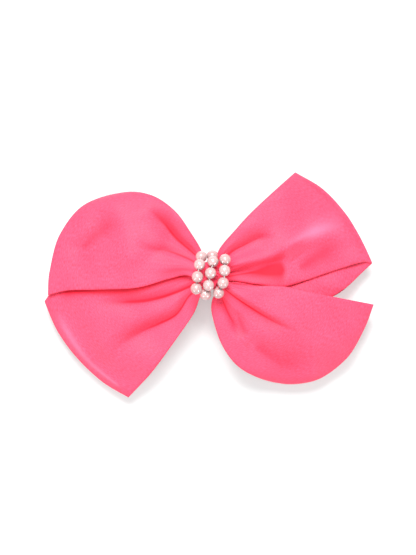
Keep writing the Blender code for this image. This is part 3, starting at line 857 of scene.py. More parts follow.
@dataclass(frozen=True)
class Loop:
    """One loop of a ring: the plan of its edges, its height along both, and its creases."""

    south: Plan
    north: Plan
    fold: Plan
    back_south: Plan
    back_north: Plan
    south_z: Sequence[float]
    north_z: Sequence[float]
    blend: tuple[float, float]
    bulge: float
    round_corner: Corner | None = None
    swell: tuple[float, float, float] = (2.2, 0.0, 1.0)
    creases: tuple[Crease, ...] = ()
    gathers: tuple[tuple[float, float, float], ...] = ((5.0, 0.1, 0.35), (9.0, 0.6, 0.22), (14.0, 0.3, 0.12))

    STATIONS = (0, 0.08, 0.2, 0.36, 0.55, 0.75, 0.91, 1.0, 0.91, 0.75, 0.55, 0.36, 0.2, 0.08, 0)
    FOLD_PLACE = 7
    LAYER_GAP = 0.9
    LEAST_ROOM = 0.2
    GATHER_FADE = 0.16
    GATHER_DEPTH = 1.6
    SWELL_AT, SWELL_WIDTH = 0.2, 0.14
    CRUMPLE_FADE = (0.1, 0.45)
    FACE_FADE = 0.8

    def plan(self, s: np.ndarray, t: np.ndarray, front: bool) -> np.ndarray:
        """A Coons patch between the two edges, the waist and the fold.

        Args:
            s: share of the ribbon's width, from the south edge.
            t: share of the way from the waist to the fold.
            front: whether it is the loop's front layer.
        Returns:
            Places in the plan.
        """
        edges = (self.south, self.north) if front else (self.back_south, self.back_north)
        round_south, round_north = (self.round_corner is each for each in (Corner.SOUTH, Corner.NORTH))
        south = SmoothLine(edges[0], after=self.fold[1] if round_south else None)
        north = SmoothLine(edges[1], after=self.fold[-2] if round_north else None)
        before, after = edges[0][-2] if round_south else None, edges[1][-2] if round_north else None
        fold = SmoothLine(self.fold, before, after)
        s, t = s[..., None], t[..., None]
        waist = south.points[0] * (1 - s) + north.points[0] * s
        corners = fold.points[0] * (1 - s) + fold.points[-1] * s
        corners = waist * (1 - t) + corners * t
        sides = south.at(t[..., 0]) * (1 - s) + north.at(t[..., 0]) * s
        return sides + waist * (1 - t) + fold.at(s[..., 0]) * t - corners

    def height(self, s: np.ndarray, place: np.ndarray) -> np.ndarray:
        """The smooth height of the cloth, before its creases.

        Args:
            s: share of the ribbon's width.
            place: where along the loop, counted in stations.
        Returns:
            The heights in millimetres.
        """
        turn = smoothstep(*self.blend, s)
        return (1 - turn) * read_stations(self.south_z, place) + turn * read_stations(self.north_z, place)

    def surface(self, s: np.ndarray, place: np.ndarray) -> tuple[np.ndarray, np.ndarray]:
        """Places on the cloth.

        Args:
            s: share of the ribbon's width, from the south edge.
            place: rows of station counts, one for each s.
        Returns:
            The places from the waist in millimetres, and how much painted shade each carries: up to 1 in
            creases, up to 2 with the painted shadow along closed lines, and below 0 for a painted highlight.
        """
        front = place <= self.FOLD_PLACE
        t = read_stations(self.STATIONS, place)
        plan = np.where(front[..., None], self.plan(s, t, True), self.plan(s, t, False))
        z = self.height(s, place)
        puff = self.bulge * (np.sin(np.pi * s) * np.sin(np.pi * np.clip(t, 0, 1))) ** 2
        pressed = sum((c.press(plan) for c in self.creases), np.zeros_like(z))
        near = np.exp(-t / self.GATHER_FADE) * smoothstep(0.0, 0.05, t) * np.sin(np.pi * s) ** 0.5
        ripples = sum(h * np.cos(2 * np.pi * (n * s + p)) for n, p, h in self.gathers)
        rise, low, high = self.swell
        arched = np.sin(np.pi * np.clip((s - low) / (high - low), 0.0, 1.0))
        swollen = rise * np.exp(-(((t - self.SWELL_AT) / self.SWELL_WIDTH) ** 2)) * arched
        z = z + np.where(front, swollen * smoothstep(0.0, 0.08, t), 0.0)
        z = z + crumple(plan) * smoothstep(*self.CRUMPLE_FADE, t)
        faced = smoothstep(self.FOLD_PLACE, self.FOLD_PLACE - self.FACE_FADE, place)
        lowered = np.where(front, (pressed - puff) * faced, 0.0) + near * ripples * self.GATHER_DEPTH
        under = self.height(s, 2 * self.FOLD_PLACE - place)
        room = np.maximum(z - under - self.LAYER_GAP, self.LEAST_ROOM)
        squeezed = np.where(lowered > 0, room * np.tanh(lowered / room), lowered)
        z = z - np.where(front, squeezed, lowered)
        # Painted shade along the creases, a painted highlight where their tone is negative, and a painted
        # shadow along their closed lines, on the front layer only.
        toned = sum((c.shade(plan) for c in self.creases), np.zeros_like(z))
        closed = sum((c.line_shade(plan) for c in self.creases), np.zeros_like(z))
        painted_shade = np.where(front, (np.clip(toned, -1.0, 1.0) + np.clip(closed, 0.0, 1.0)) * faced, 0.0)
        return np.concatenate([plan, z[..., None]], axis=-1), painted_shade


# Each crease's tone paints shade along it, or a highlight where negative, and its last field paints a shadow
# along its closed line.
UPPER_LEFT = Loop(
    south=[
        (0, -1.8), (-2.2, -1.9), (-8, 0.8), (-14.7, -0.5), (-25, -3.4), (-38.5, -4.1),
        (-48.9, -4.4), (-55.8, -6)
    ],
    north=[(0, 3), (-2.1, 3.4), (-3, 8.6), (-6.8, 15.2), (-12.2, 22.6), (-20.3, 28), (-30.5, 29.1)],
    fold=[(-55.8, -6), (-55.2, 2.5), (-51.8, 14.6), (-43.7, 24.7), (-30.5, 29.1)],
    back_south=[
        (0, -1.8), (-2.2, -1.9), (-8, 1.4), (-14.7, 0.6), (-25, -2), (-38.5, -2.8), (-48.5, -3.4), (-55.8, -6)
    ],
    back_north=[(0, 3), (-2.1, 3.4), (-3.6, 8), (-8, 14.8), (-13.2, 21.4), (-20.8, 26.8), (-30.5, 29.1)],
    south_z=(22.2, 21.5, 20.2, 19.2, 17.5, 14.9, 11.4, 9.2, 8.4, 12.9, 15.6, 17.3, 18.3, 19.2, 19.6),
    north_z=(22.2, 20.4, 18.4, 19.3, 19.0, 16.5, 13.0, 9.0, 6.6, 6.8, 8.6, 11.5, 15.0, 19.1, 19.6),
    blend=(0.15, 1.0),
    bulge=2.4,
    round_corner=Corner.NORTH,
    creases=(
        Crease(
            [(-2.2, 4.2), (-5.2, 7.6), (-11.6, 13.2), (-15.5, 18), (-19.5, 22), (-23, 25.5)],
            (5.2, 3.4), 7.0, 1.9, 0.12, 0.35, (0.7, 0.7, 3.0), crease_shadow=0.8,
        ),
        Crease(
            [(-2.4, 2.8), (-6.8, 5.9), (-14.7, 9.1), (-19.5, 9.5), (-26.5, 12.4)],
            (3.8, 2.2), 4.5, 1.7, 0.2, 0.35, (0.4, 0.8, 2.2), crease_shadow=0.5,
        ),
        Crease([(-2.2, 0.2), (-7, 2.6), (-13, 2.0), (-20, 0.4)], (1.2, 0.6), 2.2, 1.6, 0.5),
        Crease(
            [(-44, 10), (-37.7, 15.5), (-30, 21)],
            (2.3, 2.3), 3.6, 4.6, 2.0, 0.5, (0.45, 3.2, 2.6),
        ),
    ),
)
LOWER_RIGHT = Loop(
    south=[
        (0, -1.8), (2.3, -2), (2.4, -4.4), (0.6, -8), (0.8, -13.3), (4.2, -23.4), (11, -31.5), (23.5, -36.4)
    ],
    north=[(0, 3), (2.2, 2.4), (7, -2), (14, -2.9), (25.6, -3.2), (42.3, -6.7), (56.1, -9.3)],
    fold=[(23.5, -36.4), (36.5, -35.3), (46.6, -28), (52.6, -18.2), (56.1, -9.3)],
    back_south=[
        (0, -1.8), (2.3, -2), (2.6, -4.6), (1.8, -8), (2.2, -13.3), (5.4, -22.6), (12, -30.4), (23.5, -36.4)
    ],
    back_north=[(0, 3), (2.2, 2.2), (7, -3.2), (14, -4.3), (25.6, -4.8), (42.3, -8), (56.1, -9.3)],
    south_z=(22.2, 21.1, 18.0, 16.6, 14.8, 12.2, 9.0, 5.6, 3.4, 3.6, 5.6, 9.0, 13.6, 19.0, 19.6),
    north_z=(22.2, 21.5, 20.6, 19.8, 18.5, 16.0, 12.4, 8.8, 8.0, 12.0, 15.2, 17.0, 18.3, 19.5, 19.6),
    blend=(0.0, 0.78),
    bulge=2.0,
    round_corner=Corner.SOUTH,
    creases=(
        Crease(
            [(2.4, -1.2), (6.6, -5.2), (13.8, -10.2), (21.7, -15.0), (31, -19.5)],
            (5.0, 3.0), 0.8, 6.0, 0.1, 0.35, (0.4, 0.4, 2.4), crease_shadow=1.0,
        ),
        Crease(
            [(2.2, -2.8), (3.9, -7.0), (5.8, -11.7), (8.2, -16.5), (10.5, -22)],
            (4.2, 2.0), 2.6, 1.3, 0.15, 0.35, (0.5, 1.8, 1.0), crease_shadow=0.5,
        ),
        Crease([(9.5, -13), (10.8, -16.5), (12.6, -21)], (1.1, 0.6), 1.2, 1.6, 0.6),
        Crease([(15, -23), (25, -29), (36, -31)], (2.3, 2.3), 4.6, 4.0, 2.2, 0.5, (0.45, 4.5, 3.5)),
    ),
)
LOWER_LEFT = Loop(
    south=[
        (0, -2.8), (-2.1, -3.2), (-3.8, -6.8), (-6, -12.5), (-12.4, -21.9), (-20.3, -32.6), (-28.4, -41.4)
    ],
    north=[
        (0, 4), (-2.2, 3.8), (-8, 2.2), (-16, 0.4), (-30, -1.8), (-46, -3.2), (-54.2, -5.0), (-57.3, -8.2)
    ],
    fold=[(-28.4, -41.4), (-37.6, -35.9), (-46.2, -27.6), (-53, -18.2), (-57.3, -8.2)],
    back_south=[
        (0, -2.8), (-2.1, -3.2), (-4.6, -6.8), (-7.2, -12), (-13.6, -21.2), (-21, -31.6), (-28.4, -41.4)
    ],
    back_north=[
        (0, 4), (-2.2, 3.8), (-8, 2.6), (-16, 1.2), (-30, -0.6), (-45, -2.2), (-52.8, -3.9), (-57.3, -8.2)
    ],
    south_z=(17.6, 17.2, 16.4, 15.6, 13.6, 11.0, 8.0, 4.8, 2.6, 2.8, 4.6, 7.6, 12.2, 15.5, 15.6),
    north_z=(17.6, 17.4, 17.0, 16.4, 14.7, 11.9, 8.4, 6.0, 5.2, 8.8, 12.4, 14.4, 15.1, 15.6, 15.6),
    blend=(0.0, 0.7),
    bulge=2.0,
    swell=(2.2, 0.0, 0.74),
    creases=(
        Crease(
            [(-2.2, -0.6), (-6.8, -2.9), (-11.6, -5), (-17.9, -7), (-25, -8.2), (-40, -8.6)],
            (5.0, 3.2), 6.0, 2.4, 0.12, 0.35, (0.85, 0.9, 3.0), crease_shadow=1.0,
        ),
        Crease(
            [(-2.6, -2.6), (-7.4, -6.4), (-11.6, -12.5), (-17.9, -15.9), (-24.3, -18.8), (-35.5, -26)],
            (5.0, 3.2), 6.0, 2.0, 0.12, 0.35, (0.45, 1.1, 3.6), crease_shadow=0.9,
        ),
        # No dent, only a painted shadow where the upper left loop's lower edge lies over this loop.
        Crease(
            [(-2, 2.2), (-8, 0.6), (-14.7, -0.5), (-25, -3.4), (-38.5, -4.1), (-54, -5.2)],
            (0.0, 0.0), 1.0, 1.0, tail=0.1, tone=(1.0, 1.5, 2.5),
        ),
        # A low ridge with a painted highlight band just inside the outer fold.
        Crease(
            [(-31, -38), (-42, -29), (-50, -18), (-53.5, -10)],
            (-0.8, -0.8), 2.0, 2.0, 1.0, 0.3, (-0.5, 1.1, 1.1),
        ),
    ),
)
UPPER_RIGHT = Loop(
    south=[
        (0, -2.8), (2.2, -2.8), (7.4, -1.2), (16, -2.3), (25.6, -3), (39.1, 1.3), (51.8, 5.2), (55.8, 4.9)
    ],
    north=[(0, 4), (2.1, 4.4), (3, 9.4), (8.4, 16), (15.4, 23.5), (29.2, 36.2)],
    fold=[(55.8, 4.9), (51.4, 14.2), (46.4, 22.2), (38.8, 30.4), (29.2, 36.2)],
    back_south=[(0, -2.8), (2.2, -3), (9, -5.2), (22, -7.8), (34, -8.2), (44, -5.4), (55.8, 4.9)],
    back_north=[(0, 4), (2.1, 4.4), (3.8, 9), (9.4, 15.2), (16.4, 22.4), (29.2, 36.2)],
    south_z=(17.6, 17.6, 17.4, 17.0, 15.4, 11.9, 8.4, 6.8, 6.5, 10.3, 13.9, 15.1, 15.4, 15.6, 15.6),
    north_z=(17.6, 17.6, 18.2, 18.8, 17.8, 15.0, 11.4, 7.4, 5.0, 5.4, 7.8, 11.4, 14.0, 15.5, 15.6),
    blend=(0.52, 1.0),
    bulge=2.0,
    swell=(2.4, 0.22, 1.0),
    creases=(
        Crease(
            [(2.2, 3.2), (7.0, 8.4), (11.4, 11.0), (16.9, 13.4), (24, 14)],
            (4.6, 2.6), 1.9, 5.0, 0.12, 0.35, (0.5, 2.2, 0.7), crease_shadow=0.7,
        ),
        Crease(
            [(2.4, 1.4), (7, 2.6), (14, 5.2), (22, 7.6), (29, 11.6), (37, 17)],
            (-1.5, -1.2), 6.0, 1.6, 0.3, 0.5, (0.3, 0.3, 2.0),
        ),
        Crease(
            [(2.4, -0.4), (9, 0.9), (16, 2), (22, 2.8), (26.5, 2.6)],
            (3.6, 4.6), 2.2, 2.6, 0.3, 0.1, (0.35, 1.2, 1.0), crease_shadow=0.5,
        ),
        # The pocket under the ridge: a shallow dent with strong painted shade.
        Crease(
            [(9, 0.9), (16, 1.6), (22, 2.4), (26.4, 2.8)],
            (0.4, 1.2), 2.6, 2.6, 0.6, 0.16, (1.25, 3.2, 2.8), 0.7,
        ),
        # A low ridge with a painted highlight band along it.
        Crease(
            [(23, 10), (33, 14.5), (41, 17.3), (49, 18.4)],
            (-0.5, -0.5), 2.5, 2.5, 1.0, 0.5, (-0.62, 2.6, 2.6), 0.5,
        ),
        # Painted shade along the outer fold edge, with only a slight dent.
        Crease(
            [(31, 34.3), (40, 27.8), (47, 19.8), (51.5, 12), (54.3, 6.5)],
            (0.25, 0.25), 1.5, 1.5, 0.5, 0.1, (0.4, 1.2, 1.2),
        ),
        Crease(
            [(30, 3), (35, 6), (40, 9.5), (45, 15)],
            (2.4, 2.2), 5.0, 4.0, 2.5, 0.5, (0.6, 4.0, 4.0),
        ),
    ),
)


@dataclass
class Bow:
    """The two ribbon rings, one laid across the other."""

    rows_per_station: int = 13
    columns: int = 96
    wall: float = 0.34
    edge_roll: float = 0.5
    flat_width: float = 46.0
    # Early estimates. The finished rings' mid-lines measure 232.8 mm (front) and 222.0 mm (rear).
    flat_lengths: dict[str, float] = field(default_factory=lambda: {"front": 232.0, "rear": 236.0})
    # The share of width times length that is the flat area.
    cut_share: float = 0.78

    def ring(self, name: str, left: Loop, right: Loop, satin: bpy.types.Material) -> bpy.types.Object:
        """One closed band of satin: out and back round its left loop, then round its right one.

        Args:
            name: the piece's name.
            left: the loop on the left.
            right: the loop on the right.
            satin: its material.
        Returns:
            The finished band, with its thickness baked in.
        """
        stations = len(Loop.STATIONS) - 1
        places = np.linspace(0, stations, stations * self.rows_per_station + 1)
        shares = np.linspace(0, 1, self.columns + 1)
        s, there = np.meshgrid(shares, places[::-1])
        first, first_painted_shade = left.surface(s, there)
        second, second_painted_shade = right.surface(s[1:-1], places[1:-1, None] + 0 * s[1:-1])
        points, painted_shade = np.concatenate([first, second]), np.concatenate([first_painted_shade, second_painted_shade])
        roll = np.exp(-np.minimum(shares, 1 - shares) * self.flat_width / 0.8)
        points[..., 2] -= self.edge_roll * roll
        rows, across = points.shape[:2]
        index = np.arange(rows * across).reshape(rows, across)
        after = np.roll(index, -1, axis=0)
        faces = np.stack([index[:, :-1], after[:, :-1], after[:, 1:], index[:, 1:]], axis=-1).reshape(-1, 4)
        flat_points = points.reshape(-1, 3) + WAIST
        made = mesh_object(name, flat_points, faces, satin)
        middle = points[:, across // 2]
        steps = np.linalg.norm(np.diff(middle, axis=0), axis=1)
        along = np.concatenate([[0.0], np.cumsum(steps)])
        add_cloth_map(made, np.tile(shares * self.flat_width, rows), np.repeat(along, across))
        # The fold attribute carries the painted shade, painted shadow and painted highlight into the satin
        # material.
        add_values(made, "fold", painted_shade.ravel())
        wall = made.modifiers.new("wall", "SOLIDIFY")
        wall.thickness = self.wall * MM
        wall.offset = 0.0
        apply_modifiers(made)
        return made

    def build(self, satin: bpy.types.Material) -> list[bpy.types.Object]:
        """Makes both rings and fixes them to the bow's body.

        Args:
            satin: the ribbon's material.
        Returns:
            The two rings.
        """
        made = []
        for key, left, right in (("front", UPPER_LEFT, LOWER_RIGHT), ("rear", LOWER_LEFT, UPPER_RIGHT)):
            ring = self.ring(f"satin_{key}_ribbon", left, right, satin)
            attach(ring, BOW_BODY)
            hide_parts(f"{key}_ribbon")
            made.append(ring)
        return made


# ---------------------------------------------------------------- the centre and the clip


@dataclass
class Wrap:
    """The folded strip of satin that binds the waist to the clip, closed by stitches underneath."""

    half_length: float = 1.72
    half_width: float = 4.5
    top: float = 23.2
    bottom: float = 11.4
    corner: float = 3.0
    foot: float = 1.0
    layers: tuple[float, ...] = (0.46, 0.2, -0.06)
    wall: float = 0.18
    flat: tuple[float, float] = (0.011, 0.037)
    stitches: int = 4
    stitch_span: float = 1.25
    stagger: float = 0.225
    sunk: float = 0.16

    def outline(self, inset: float, turn: np.ndarray) -> np.ndarray:
        """The section as (y, z) at shares of a turn, drawn in by an inset.

        Args:
            inset: how far it is drawn in.
            turn: shares of one turn.
        Returns:
            One place for each share.
        """
        half, top, bottom = self.half_width - inset, self.top - inset, self.bottom + inset
        corner, foot = self.corner - inset, self.foot - inset
        angles = np.radians(np.linspace(0, 90, 7))
        places = []
        for y, z, radius, quarter in (
            (half - corner, top - corner, corner, 0),
            (corner - half, top - corner, corner, 1),
            (foot - half, bottom + foot, foot, 2),
            (half - foot, bottom + foot, foot, 3),
        ):
            a = angles + quarter * np.pi / 2
            places.append(np.stack([y + radius * np.cos(a), z + radius * np.sin(a)], axis=-1))
        ring = np.concatenate([*places, places[0][:1]])
        steps = np.concatenate([[0.0], np.cumsum(np.linalg.norm(np.diff(ring, axis=0), axis=1))])
        return np.stack([np.interp(turn * steps[-1], steps, ring[:, k]) for k in (0, 1)], axis=-1)

    def strip(self, satin: bpy.types.Material) -> bpy.types.Object:
        """The strip, folded in three along its length and carried once round the waist.

        Args:
            satin: its material.
        Returns:
            The strip.
        """
        across = []
        step = (self.layers[0] - self.layers[1]) / 2
        for number, inset in enumerate(self.layers):
            side = 1 if number % 2 == 0 else -1
            across += [(side * x, inset) for x in np.linspace(-self.half_length, self.half_length, 9)]
            if number < len(self.layers) - 1:
                for a in np.radians([45, 90, 135]):
                    x = side * (self.half_length + step * np.sin(a))
                    across.append((x, inset - step * (1 - np.cos(a))))
        turns = np.linspace(0, 1, 97)[:-1]
        rows = []
        for x, inset in across:
            ring = self.outline(inset, turns)
            pleat = 0.05 * np.cos(2 * np.pi * (x / 1.15 + 2 * turns)) * (inset < 0)
            out = ring - np.array([0.0, (self.top + self.bottom) / 2])
            out = ring + out / np.linalg.norm(out, axis=1)[:, None] * pleat[:, None]
            rows.append(np.stack([np.full(len(turns), x), out[:, 0], out[:, 1]], axis=-1))
        points = np.array(rows)
        count, around = points.shape[:2]
        index = np.arange(count * around).reshape(count, around)
        after = np.roll(index, -1, axis=1)
        faces = np.stack([index[:-1], index[1:], after[1:], after[:-1]], axis=-1).reshape(-1, 4)
        centre = WAIST + np.array([0.0, CLIP_Y, 0.0])
        made = mesh_object("satin_centre_wrap", points.reshape(-1, 3) + centre, faces, satin)
        widths = np.linspace(0, self.flat[0] / MM, count)
        lengths = turns * self.flat[1] / MM
        add_cloth_map(made, np.repeat(widths, around), np.tile(lengths, count))
        # Painted shade over the whole wrap, a quarter of the way to the satin's painted shade colour.
        add_values(made, "fold", np.full(count * around, 0.25))
        wall = made.modifiers.new("wall", "SOLIDIFY")
        wall.thickness, wall.offset = self.wall * MM, 0.0
        apply_modifiers(made)
        return made

    def build(
        self, satin: bpy.types.Material, cotton: bpy.types.Material, tree: bpy.types.NodeTree
    ) -> list[bpy.types.Object]:
        """Makes the strip and the stitches that close it.

        Args:
            satin: the strip's material.
            cotton: the stitches' material.
            tree: the strung item tree.
        Returns:
            The strip and the stitches.
        """
        strip = self.strip(satin)
        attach(strip, BOW_BODY)
        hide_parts("centre_wrap")
        places = np.linspace(-self.stitch_span, self.stitch_span, self.stitches)
        low = self.bottom - self.sunk
        points = np.array([(x, (-1) ** i * self.stagger, low) for i, x in enumerate(places)])
        points = points + WAIST + np.array([0.0, CLIP_Y, 0.0])
        aims = np.array([(0.35, 1.0, 0.0)] * self.stitches)
        pill = pill_source(0.11, 0.75)
        inputs = {"Item": pill, "Unevenness": 0.12, "Seed": 3, "Material": cotton}
        sewn = grow("wrap_stitches", points, [], tree, aim=aims, **inputs)
        bpy.data.objects.remove(pill)
        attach(sewn, BOW_BODY)
        return [strip, sewn]


def pill_source(radius: float, half_length: float) -> bpy.types.Object:
    """A slim rounded stitch along Z, for a tree to copy.

    Args:
        radius: its radius in millimetres.
        half_length: half its length.
    Returns:
        The stitch.
    """
    mesh = bpy.data.meshes.new("stitch_source")
    shape = bmesh.new()
    bmesh.ops.create_uvsphere(shape, u_segments=8, v_segments=7, radius=1.0)
    for vertex in shape.verts:
        vertex.co = Vector((vertex.co.x * radius, vertex.co.y * radius, vertex.co.z * half_length)) * MM
    shape.to_mesh(mesh)
    shape.free()
    return link_object("stitch_source", mesh)


@dataclass
class Beads:
    """Three short strands of coated beads over the wrap, each on its own thread."""

    radius: float = 1.95
    hole: float = 0.42
    lip: float = 0.14
    pitch: float = 4.15
    stand: float = 2.25
    line: float = 0.18
    tail: float = 0.2
    unevenness: float = 0.03
    facets: int = 40
    strands: dict[str, tuple[float, tuple[float, ...]]] = field(
        default_factory=lambda: {
            "left": (7.95, (-3.1, -3.7, -4.4, -4.8)),
            "middle": (9.2, (0.65, 0.8, 0.0, -0.7, -1.7)),
            "right": (5.9, (4.9, 4.7, 4.2, 2.7)),
        }
    )

    def centre(self, along: float, x: float, wrap: Wrap) -> np.ndarray:
        """The centre of a bead at a length along the wrap from its top.

        Args:
            along: the length, towards +Y where positive.
            x: how far along the clip.
            wrap: what it lies on.
        Returns:
            The centre in millimetres.
        """
        flat = wrap.half_width - wrap.corner
        reach = wrap.corner + self.stand
        beyond = max(abs(along) - flat, 0.0)
        angle = min(beyond / reach, math.pi / 2)
        drop = max(beyond - reach * math.pi / 2, 0.0)
        y = min(abs(along), flat) + reach * math.sin(angle)
        z = wrap.top - wrap.corner + reach * math.cos(angle) - drop
        return np.array([x, math.copysign(y, along) + CLIP_Y, z]) + WAIST

    def source(self) -> bpy.types.Object:
        """One bead with a hole along Z, for the tree to copy.

        Returns:
            The bead.
        """
        start = math.asin((self.hole + self.lip) / self.radius)
        outer = np.linspace(start, math.pi - start, 23)
        profile = [(self.radius * math.sin(a), self.radius * math.cos(a)) for a in outer]
        end = self.radius * math.cos(start) - self.lip
        rims = [math.radians(a) for a in (0, 30, 60, 90)]
        low = [(self.hole + self.lip * (1 - math.sin(a)), -end - self.lip * math.cos(a)) for a in rims]
        profile += low[1:] + [(r, -z) for r, z in reversed(low[1:])]
        around = np.linspace(0, 2 * np.pi, self.facets + 1)[:-1]
        places = np.array([[(r * np.cos(a), r * np.sin(a), z) for a in around] for r, z in profile])
        index = np.arange(places.shape[0] * self.facets).reshape(-1, self.facets)
        down, side = np.roll(index, -1, axis=0), np.roll(index, -1, axis=1)
        faces = np.stack([index, down, np.roll(down, -1, axis=1), side], axis=-1).reshape(-1, 4)
        mesh = bpy.data.meshes.new("bead_source")
        mesh.from_pydata((places.reshape(-1, 3) * MM).tolist(), [], faces.tolist())
        return link_object("bead_source", mesh)

    def build(
        self, wrap: Wrap, pearl: bpy.types.Material, nylon: bpy.types.Material, tree: bpy.types.NodeTree
    ) -> list[bpy.types.Object]:
        """Strings the beads on their threads.

        Args:
            wrap: the wrap that they lie on.
            pearl: the beads' coating.
            nylon: the threads' material.
            tree: the strung item tree.
        Returns:
            The beads and the threads.
        """
        points, aims, route, edges = [], [], [], []
        for start, xs in self.strands.values():
            places = [self.centre(start - self.pitch * i, x, wrap) for i, x in enumerate(xs)]
            ends = [2 * places[0] - places[1], *places, 2 * places[-1] - places[-2]]
            ways = [(b - a) / np.linalg.norm(b - a) for a, b in zip(ends, ends[2:])]
            first = len(route)
            route.append(places[0] - ways[0] * (self.radius + self.tail))
            for place, way in zip(places, ways):
                route += [place - way * self.radius * 0.9, place + way * self.radius * 0.9]
            route.append(places[-1] + ways[-1] * (self.radius + self.tail))
            edges += [(k, k + 1) for k in range(first, len(route) - 1)]
            points += places
            aims += ways
        bead = self.source()
        inputs = {"Item": bead, "Unevenness": self.unevenness, "Seed": 11, "Material": pearl}
        beads = grow("strung_pearls", np.array(points), [], tree, aim=aims, **inputs)
        bpy.data.objects.remove(bead)
        sizes = {"Radius": self.line * MM, "Bend": 0.3 * MM, "Material": nylon}
        threads = grow("bead_threads", np.array(route), edges, line_tree(), **sizes)
        counts = {name: len(xs) for name, (_, xs) in self.strands.items()}
        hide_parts(*(f"pearl_{name}_{i + 1}" for name, count in counts.items() for i in range(count)))
        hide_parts(*(f"thread_{name}" for name in counts))
        for piece, slot in ((beads, Slot.PEARL), (threads, Slot.THREAD)):
            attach(piece, BOW_BODY)
        return [beads, threads]


@dataclass
class Pad:
    """The strip of felt glued between the bow and the clip."""

    edge: float = 0.35
    cell: float = 0.7
    fuzz: float = 0.09

    def build(self, felt: bpy.types.Material) -> bpy.types.Object:
        """Makes the pad from its CAD solid, with soft edges and an uneven face.

        Args:
            felt: its material.
        Returns:
            The pad.
        """
        made = merged_copy("felt_pad", "felt_backing", felt)
        round_edges(made, self.edge, 3)
        shape = bmesh.new()
        shape.from_mesh(made.data)
        bmesh.ops.triangulate(shape, faces=shape.faces)
        for _ in range(4):
            long = [e for e in shape.edges if e.calc_length() > self.cell * MM]
            bmesh.ops.subdivide_edges(shape, edges=long, cuts=1)
            bmesh.ops.triangulate(shape, faces=shape.faces)
        shape.normal_update()
        moved = [v.normal * self.fuzz * MM * noise.noise(v.co / (0.55 * MM)) for v in shape.verts]
        for vertex, move in zip(shape.verts, moved):
            vertex.co += move
        shape.to_mesh(made.data)
        shape.free()
        made.data.shade_smooth()
        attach(made, BOW_BODY)
        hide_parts("felt_pad")
        return made


@dataclass
class Clip:
    """The sprung metal clip: each of its parts with rounded edges."""

    edge: float = 0.09
    parts: tuple[tuple[str, str, str, Slot], ...] = (
        ("clip_plate", "bow_plate", BOW_BODY, Slot.NICKEL),
        ("clip_arm", "hair_arm", "arm", Slot.NICKEL),
        ("clasp_rivet", "latch_rivet", BOW_BODY, Slot.NICKEL),
        ("tension_bar", "leaf_spring", "tension_bar", Slot.STEEL),
        ("hinge_pin", "arm_pin", BOW_BODY, Slot.STEEL),
        ("clasp_base", "latch_base", BOW_BODY, Slot.STEEL),
        ("clasp_tab_front", "latch_tab_front", "front_tab", Slot.STEEL),
        ("clasp_tab_rear", "latch_tab_rear", "rear_tab", Slot.STEEL),
    )

    def build(self, metals: dict[Slot, bpy.types.Material]) -> list[bpy.types.Object]:
        """Makes every metal part from its CAD solid.

        Args:
            metals: the material of each slot.
        Returns:
            The parts.
        """
        made = []
        for node, name, body, slot in self.parts:
            part = merged_copy(node, name, metals[slot])
            round_edges(part, self.edge)
            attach(part, body)
            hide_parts(node)
            made.append(part)
        return made


# ---------------------------------------------------------------- camera, light and floor


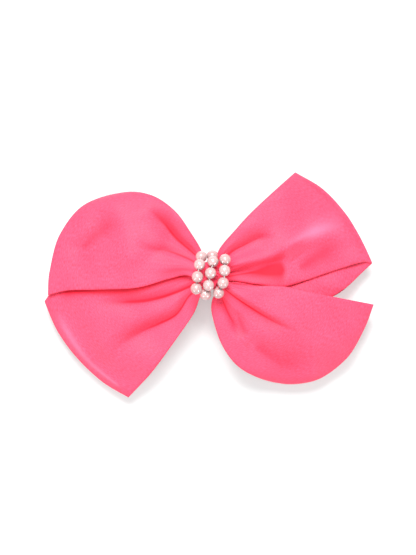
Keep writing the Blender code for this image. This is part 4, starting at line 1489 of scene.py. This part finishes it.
@dataclass
class Studio:
    """A white table under soft lights, seen from straight above."""

    aim: tuple[float, float] = (-0.00036, 0.0027)
    height: float = 0.646
    lens: float = 120.0
    floor_size: float = 3.0
    sky: float = 0.33
    glow: float = 0.42
    # Each light's name, place, aim, size in metres and watts.
    lights: tuple[tuple, ...] = (
        ("key", (-0.06, 0.48, 0.76), (0.0, 0.0, 0.0), 0.38, 14.2),
        ("low_left", (-0.42, -0.42, 0.3), (0, 0, 0.02), 0.12, 2.0),
        ("low_right", (0.42, -0.42, 0.3), (0, 0, 0.02), 0.12, 2.0),
        ("over", (0.0, 0.06, 0.9), (0, 0, 0.02), 0.16, 1.6),
    )

    def build(self) -> None:
        """Makes the floor, the lights, the sky and the camera."""
        scene = bpy.context.scene
        scene.view_settings.view_transform = "Standard"
        self.floor()
        for row in self.lights:
            self.light(*row)
        world = bpy.data.worlds.new("studio")
        scene.world = world
        world.use_nodes = True
        sky = world.node_tree.nodes["Background"]
        sky.inputs["Color"].default_value = (1, 1, 1, 1)
        sky.inputs["Strength"].default_value = self.sky
        data = bpy.data.cameras.new("camera")
        data.lens = self.lens
        data.sensor_width = 36.0
        data.clip_start, data.clip_end = 0.01, 10.0
        camera = link_object("camera", data)
        camera.location = (*self.aim, self.height)
        scene.camera = camera

    def floor(self) -> None:
        """A plain white table top."""
        material, bench, shader = new_material("white_table")
        place = bench.add("ShaderNodeTexCoord").outputs["Object"]
        cloud = bench.add("ShaderNodeTexNoise", Vector=place, Scale=40.0)
        tone = bench.blend(cloud.outputs["Fac"], (0.38, 0.39, 0.39, 1), (0.40, 0.41, 0.41, 1))
        bench.set(shader, {"Base Color": tone, "Roughness": 0.9, "Specular IOR Level": 0.1})
        bench.set(shader, {"Emission Color": (1, 1, 1, 1), "Emission Strength": self.glow})
        half = self.floor_size / 2 / MM
        corners = np.array([(x * half, y * half, -0.05) for x, y in ((-1, -1), (1, -1), (1, 1), (-1, 1))])
        floor = mesh_object("white_floor", corners, np.array([[0, 1, 2, 3]]), material)

    def light(self, name: str, place: tuple, aim: tuple, size: float, watts: float) -> None:
        """A square soft light that faces a point.

        Args:
            name: its name.
            place: where it stands, in metres.
            aim: the point that it faces.
            size: the length of its side.
            watts: its power.
        """
        data = bpy.data.lights.new(name, "AREA")
        data.size, data.energy = size, watts
        lamp = link_object(name, data)
        lamp.location = place
        lamp.rotation_mode = "QUATERNION"
        lamp.rotation_quaternion = (Vector(aim) - Vector(place)).to_track_quat("-Z", "Y")


def main() -> None:
    """Builds every sub-assembly around the frame."""
    logging.basicConfig(level=logging.INFO, format="%(name)s: %(message)s")
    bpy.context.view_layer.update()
    weave, grain, fibres = weave_group(), grain_group(), fibre_group()
    strung = strung_tree()
    satin = Satin("pink_satin").build(weave)
    pearl = Pearl("pearl_coat").build()
    nylon = Nylon("clear_nylon").build()
    felt = Fibre("pink_felt", (0.72, 0.07, 0.16)).build(fibres)
    cotton = Fibre("pink_cotton", (0.78, 0.06, 0.14), 0.05, 0.03, 0.3).build(fibres)
    metals = {
        Slot.NICKEL: Metal("satin_nickel", (0.72, 0.72, 0.71), 0.28).build(grain),
        Slot.STEEL: Metal("spring_steel", (0.6, 0.6, 0.61), 0.34).build(grain),
    }
    Studio().build()
    wrap = Wrap()
    pieces = Bow().build(satin)
    pieces += wrap.build(satin, cotton, strung)
    pieces += Beads().build(wrap, pearl, nylon, strung)
    pieces.append(Pad().build(felt))
    pieces += Clip().build(metals)
    for piece in pieces:
        LOG.info("%s: %d faces", piece.name, len(piece.data.polygons))


if __name__ == "__main__":
    main()
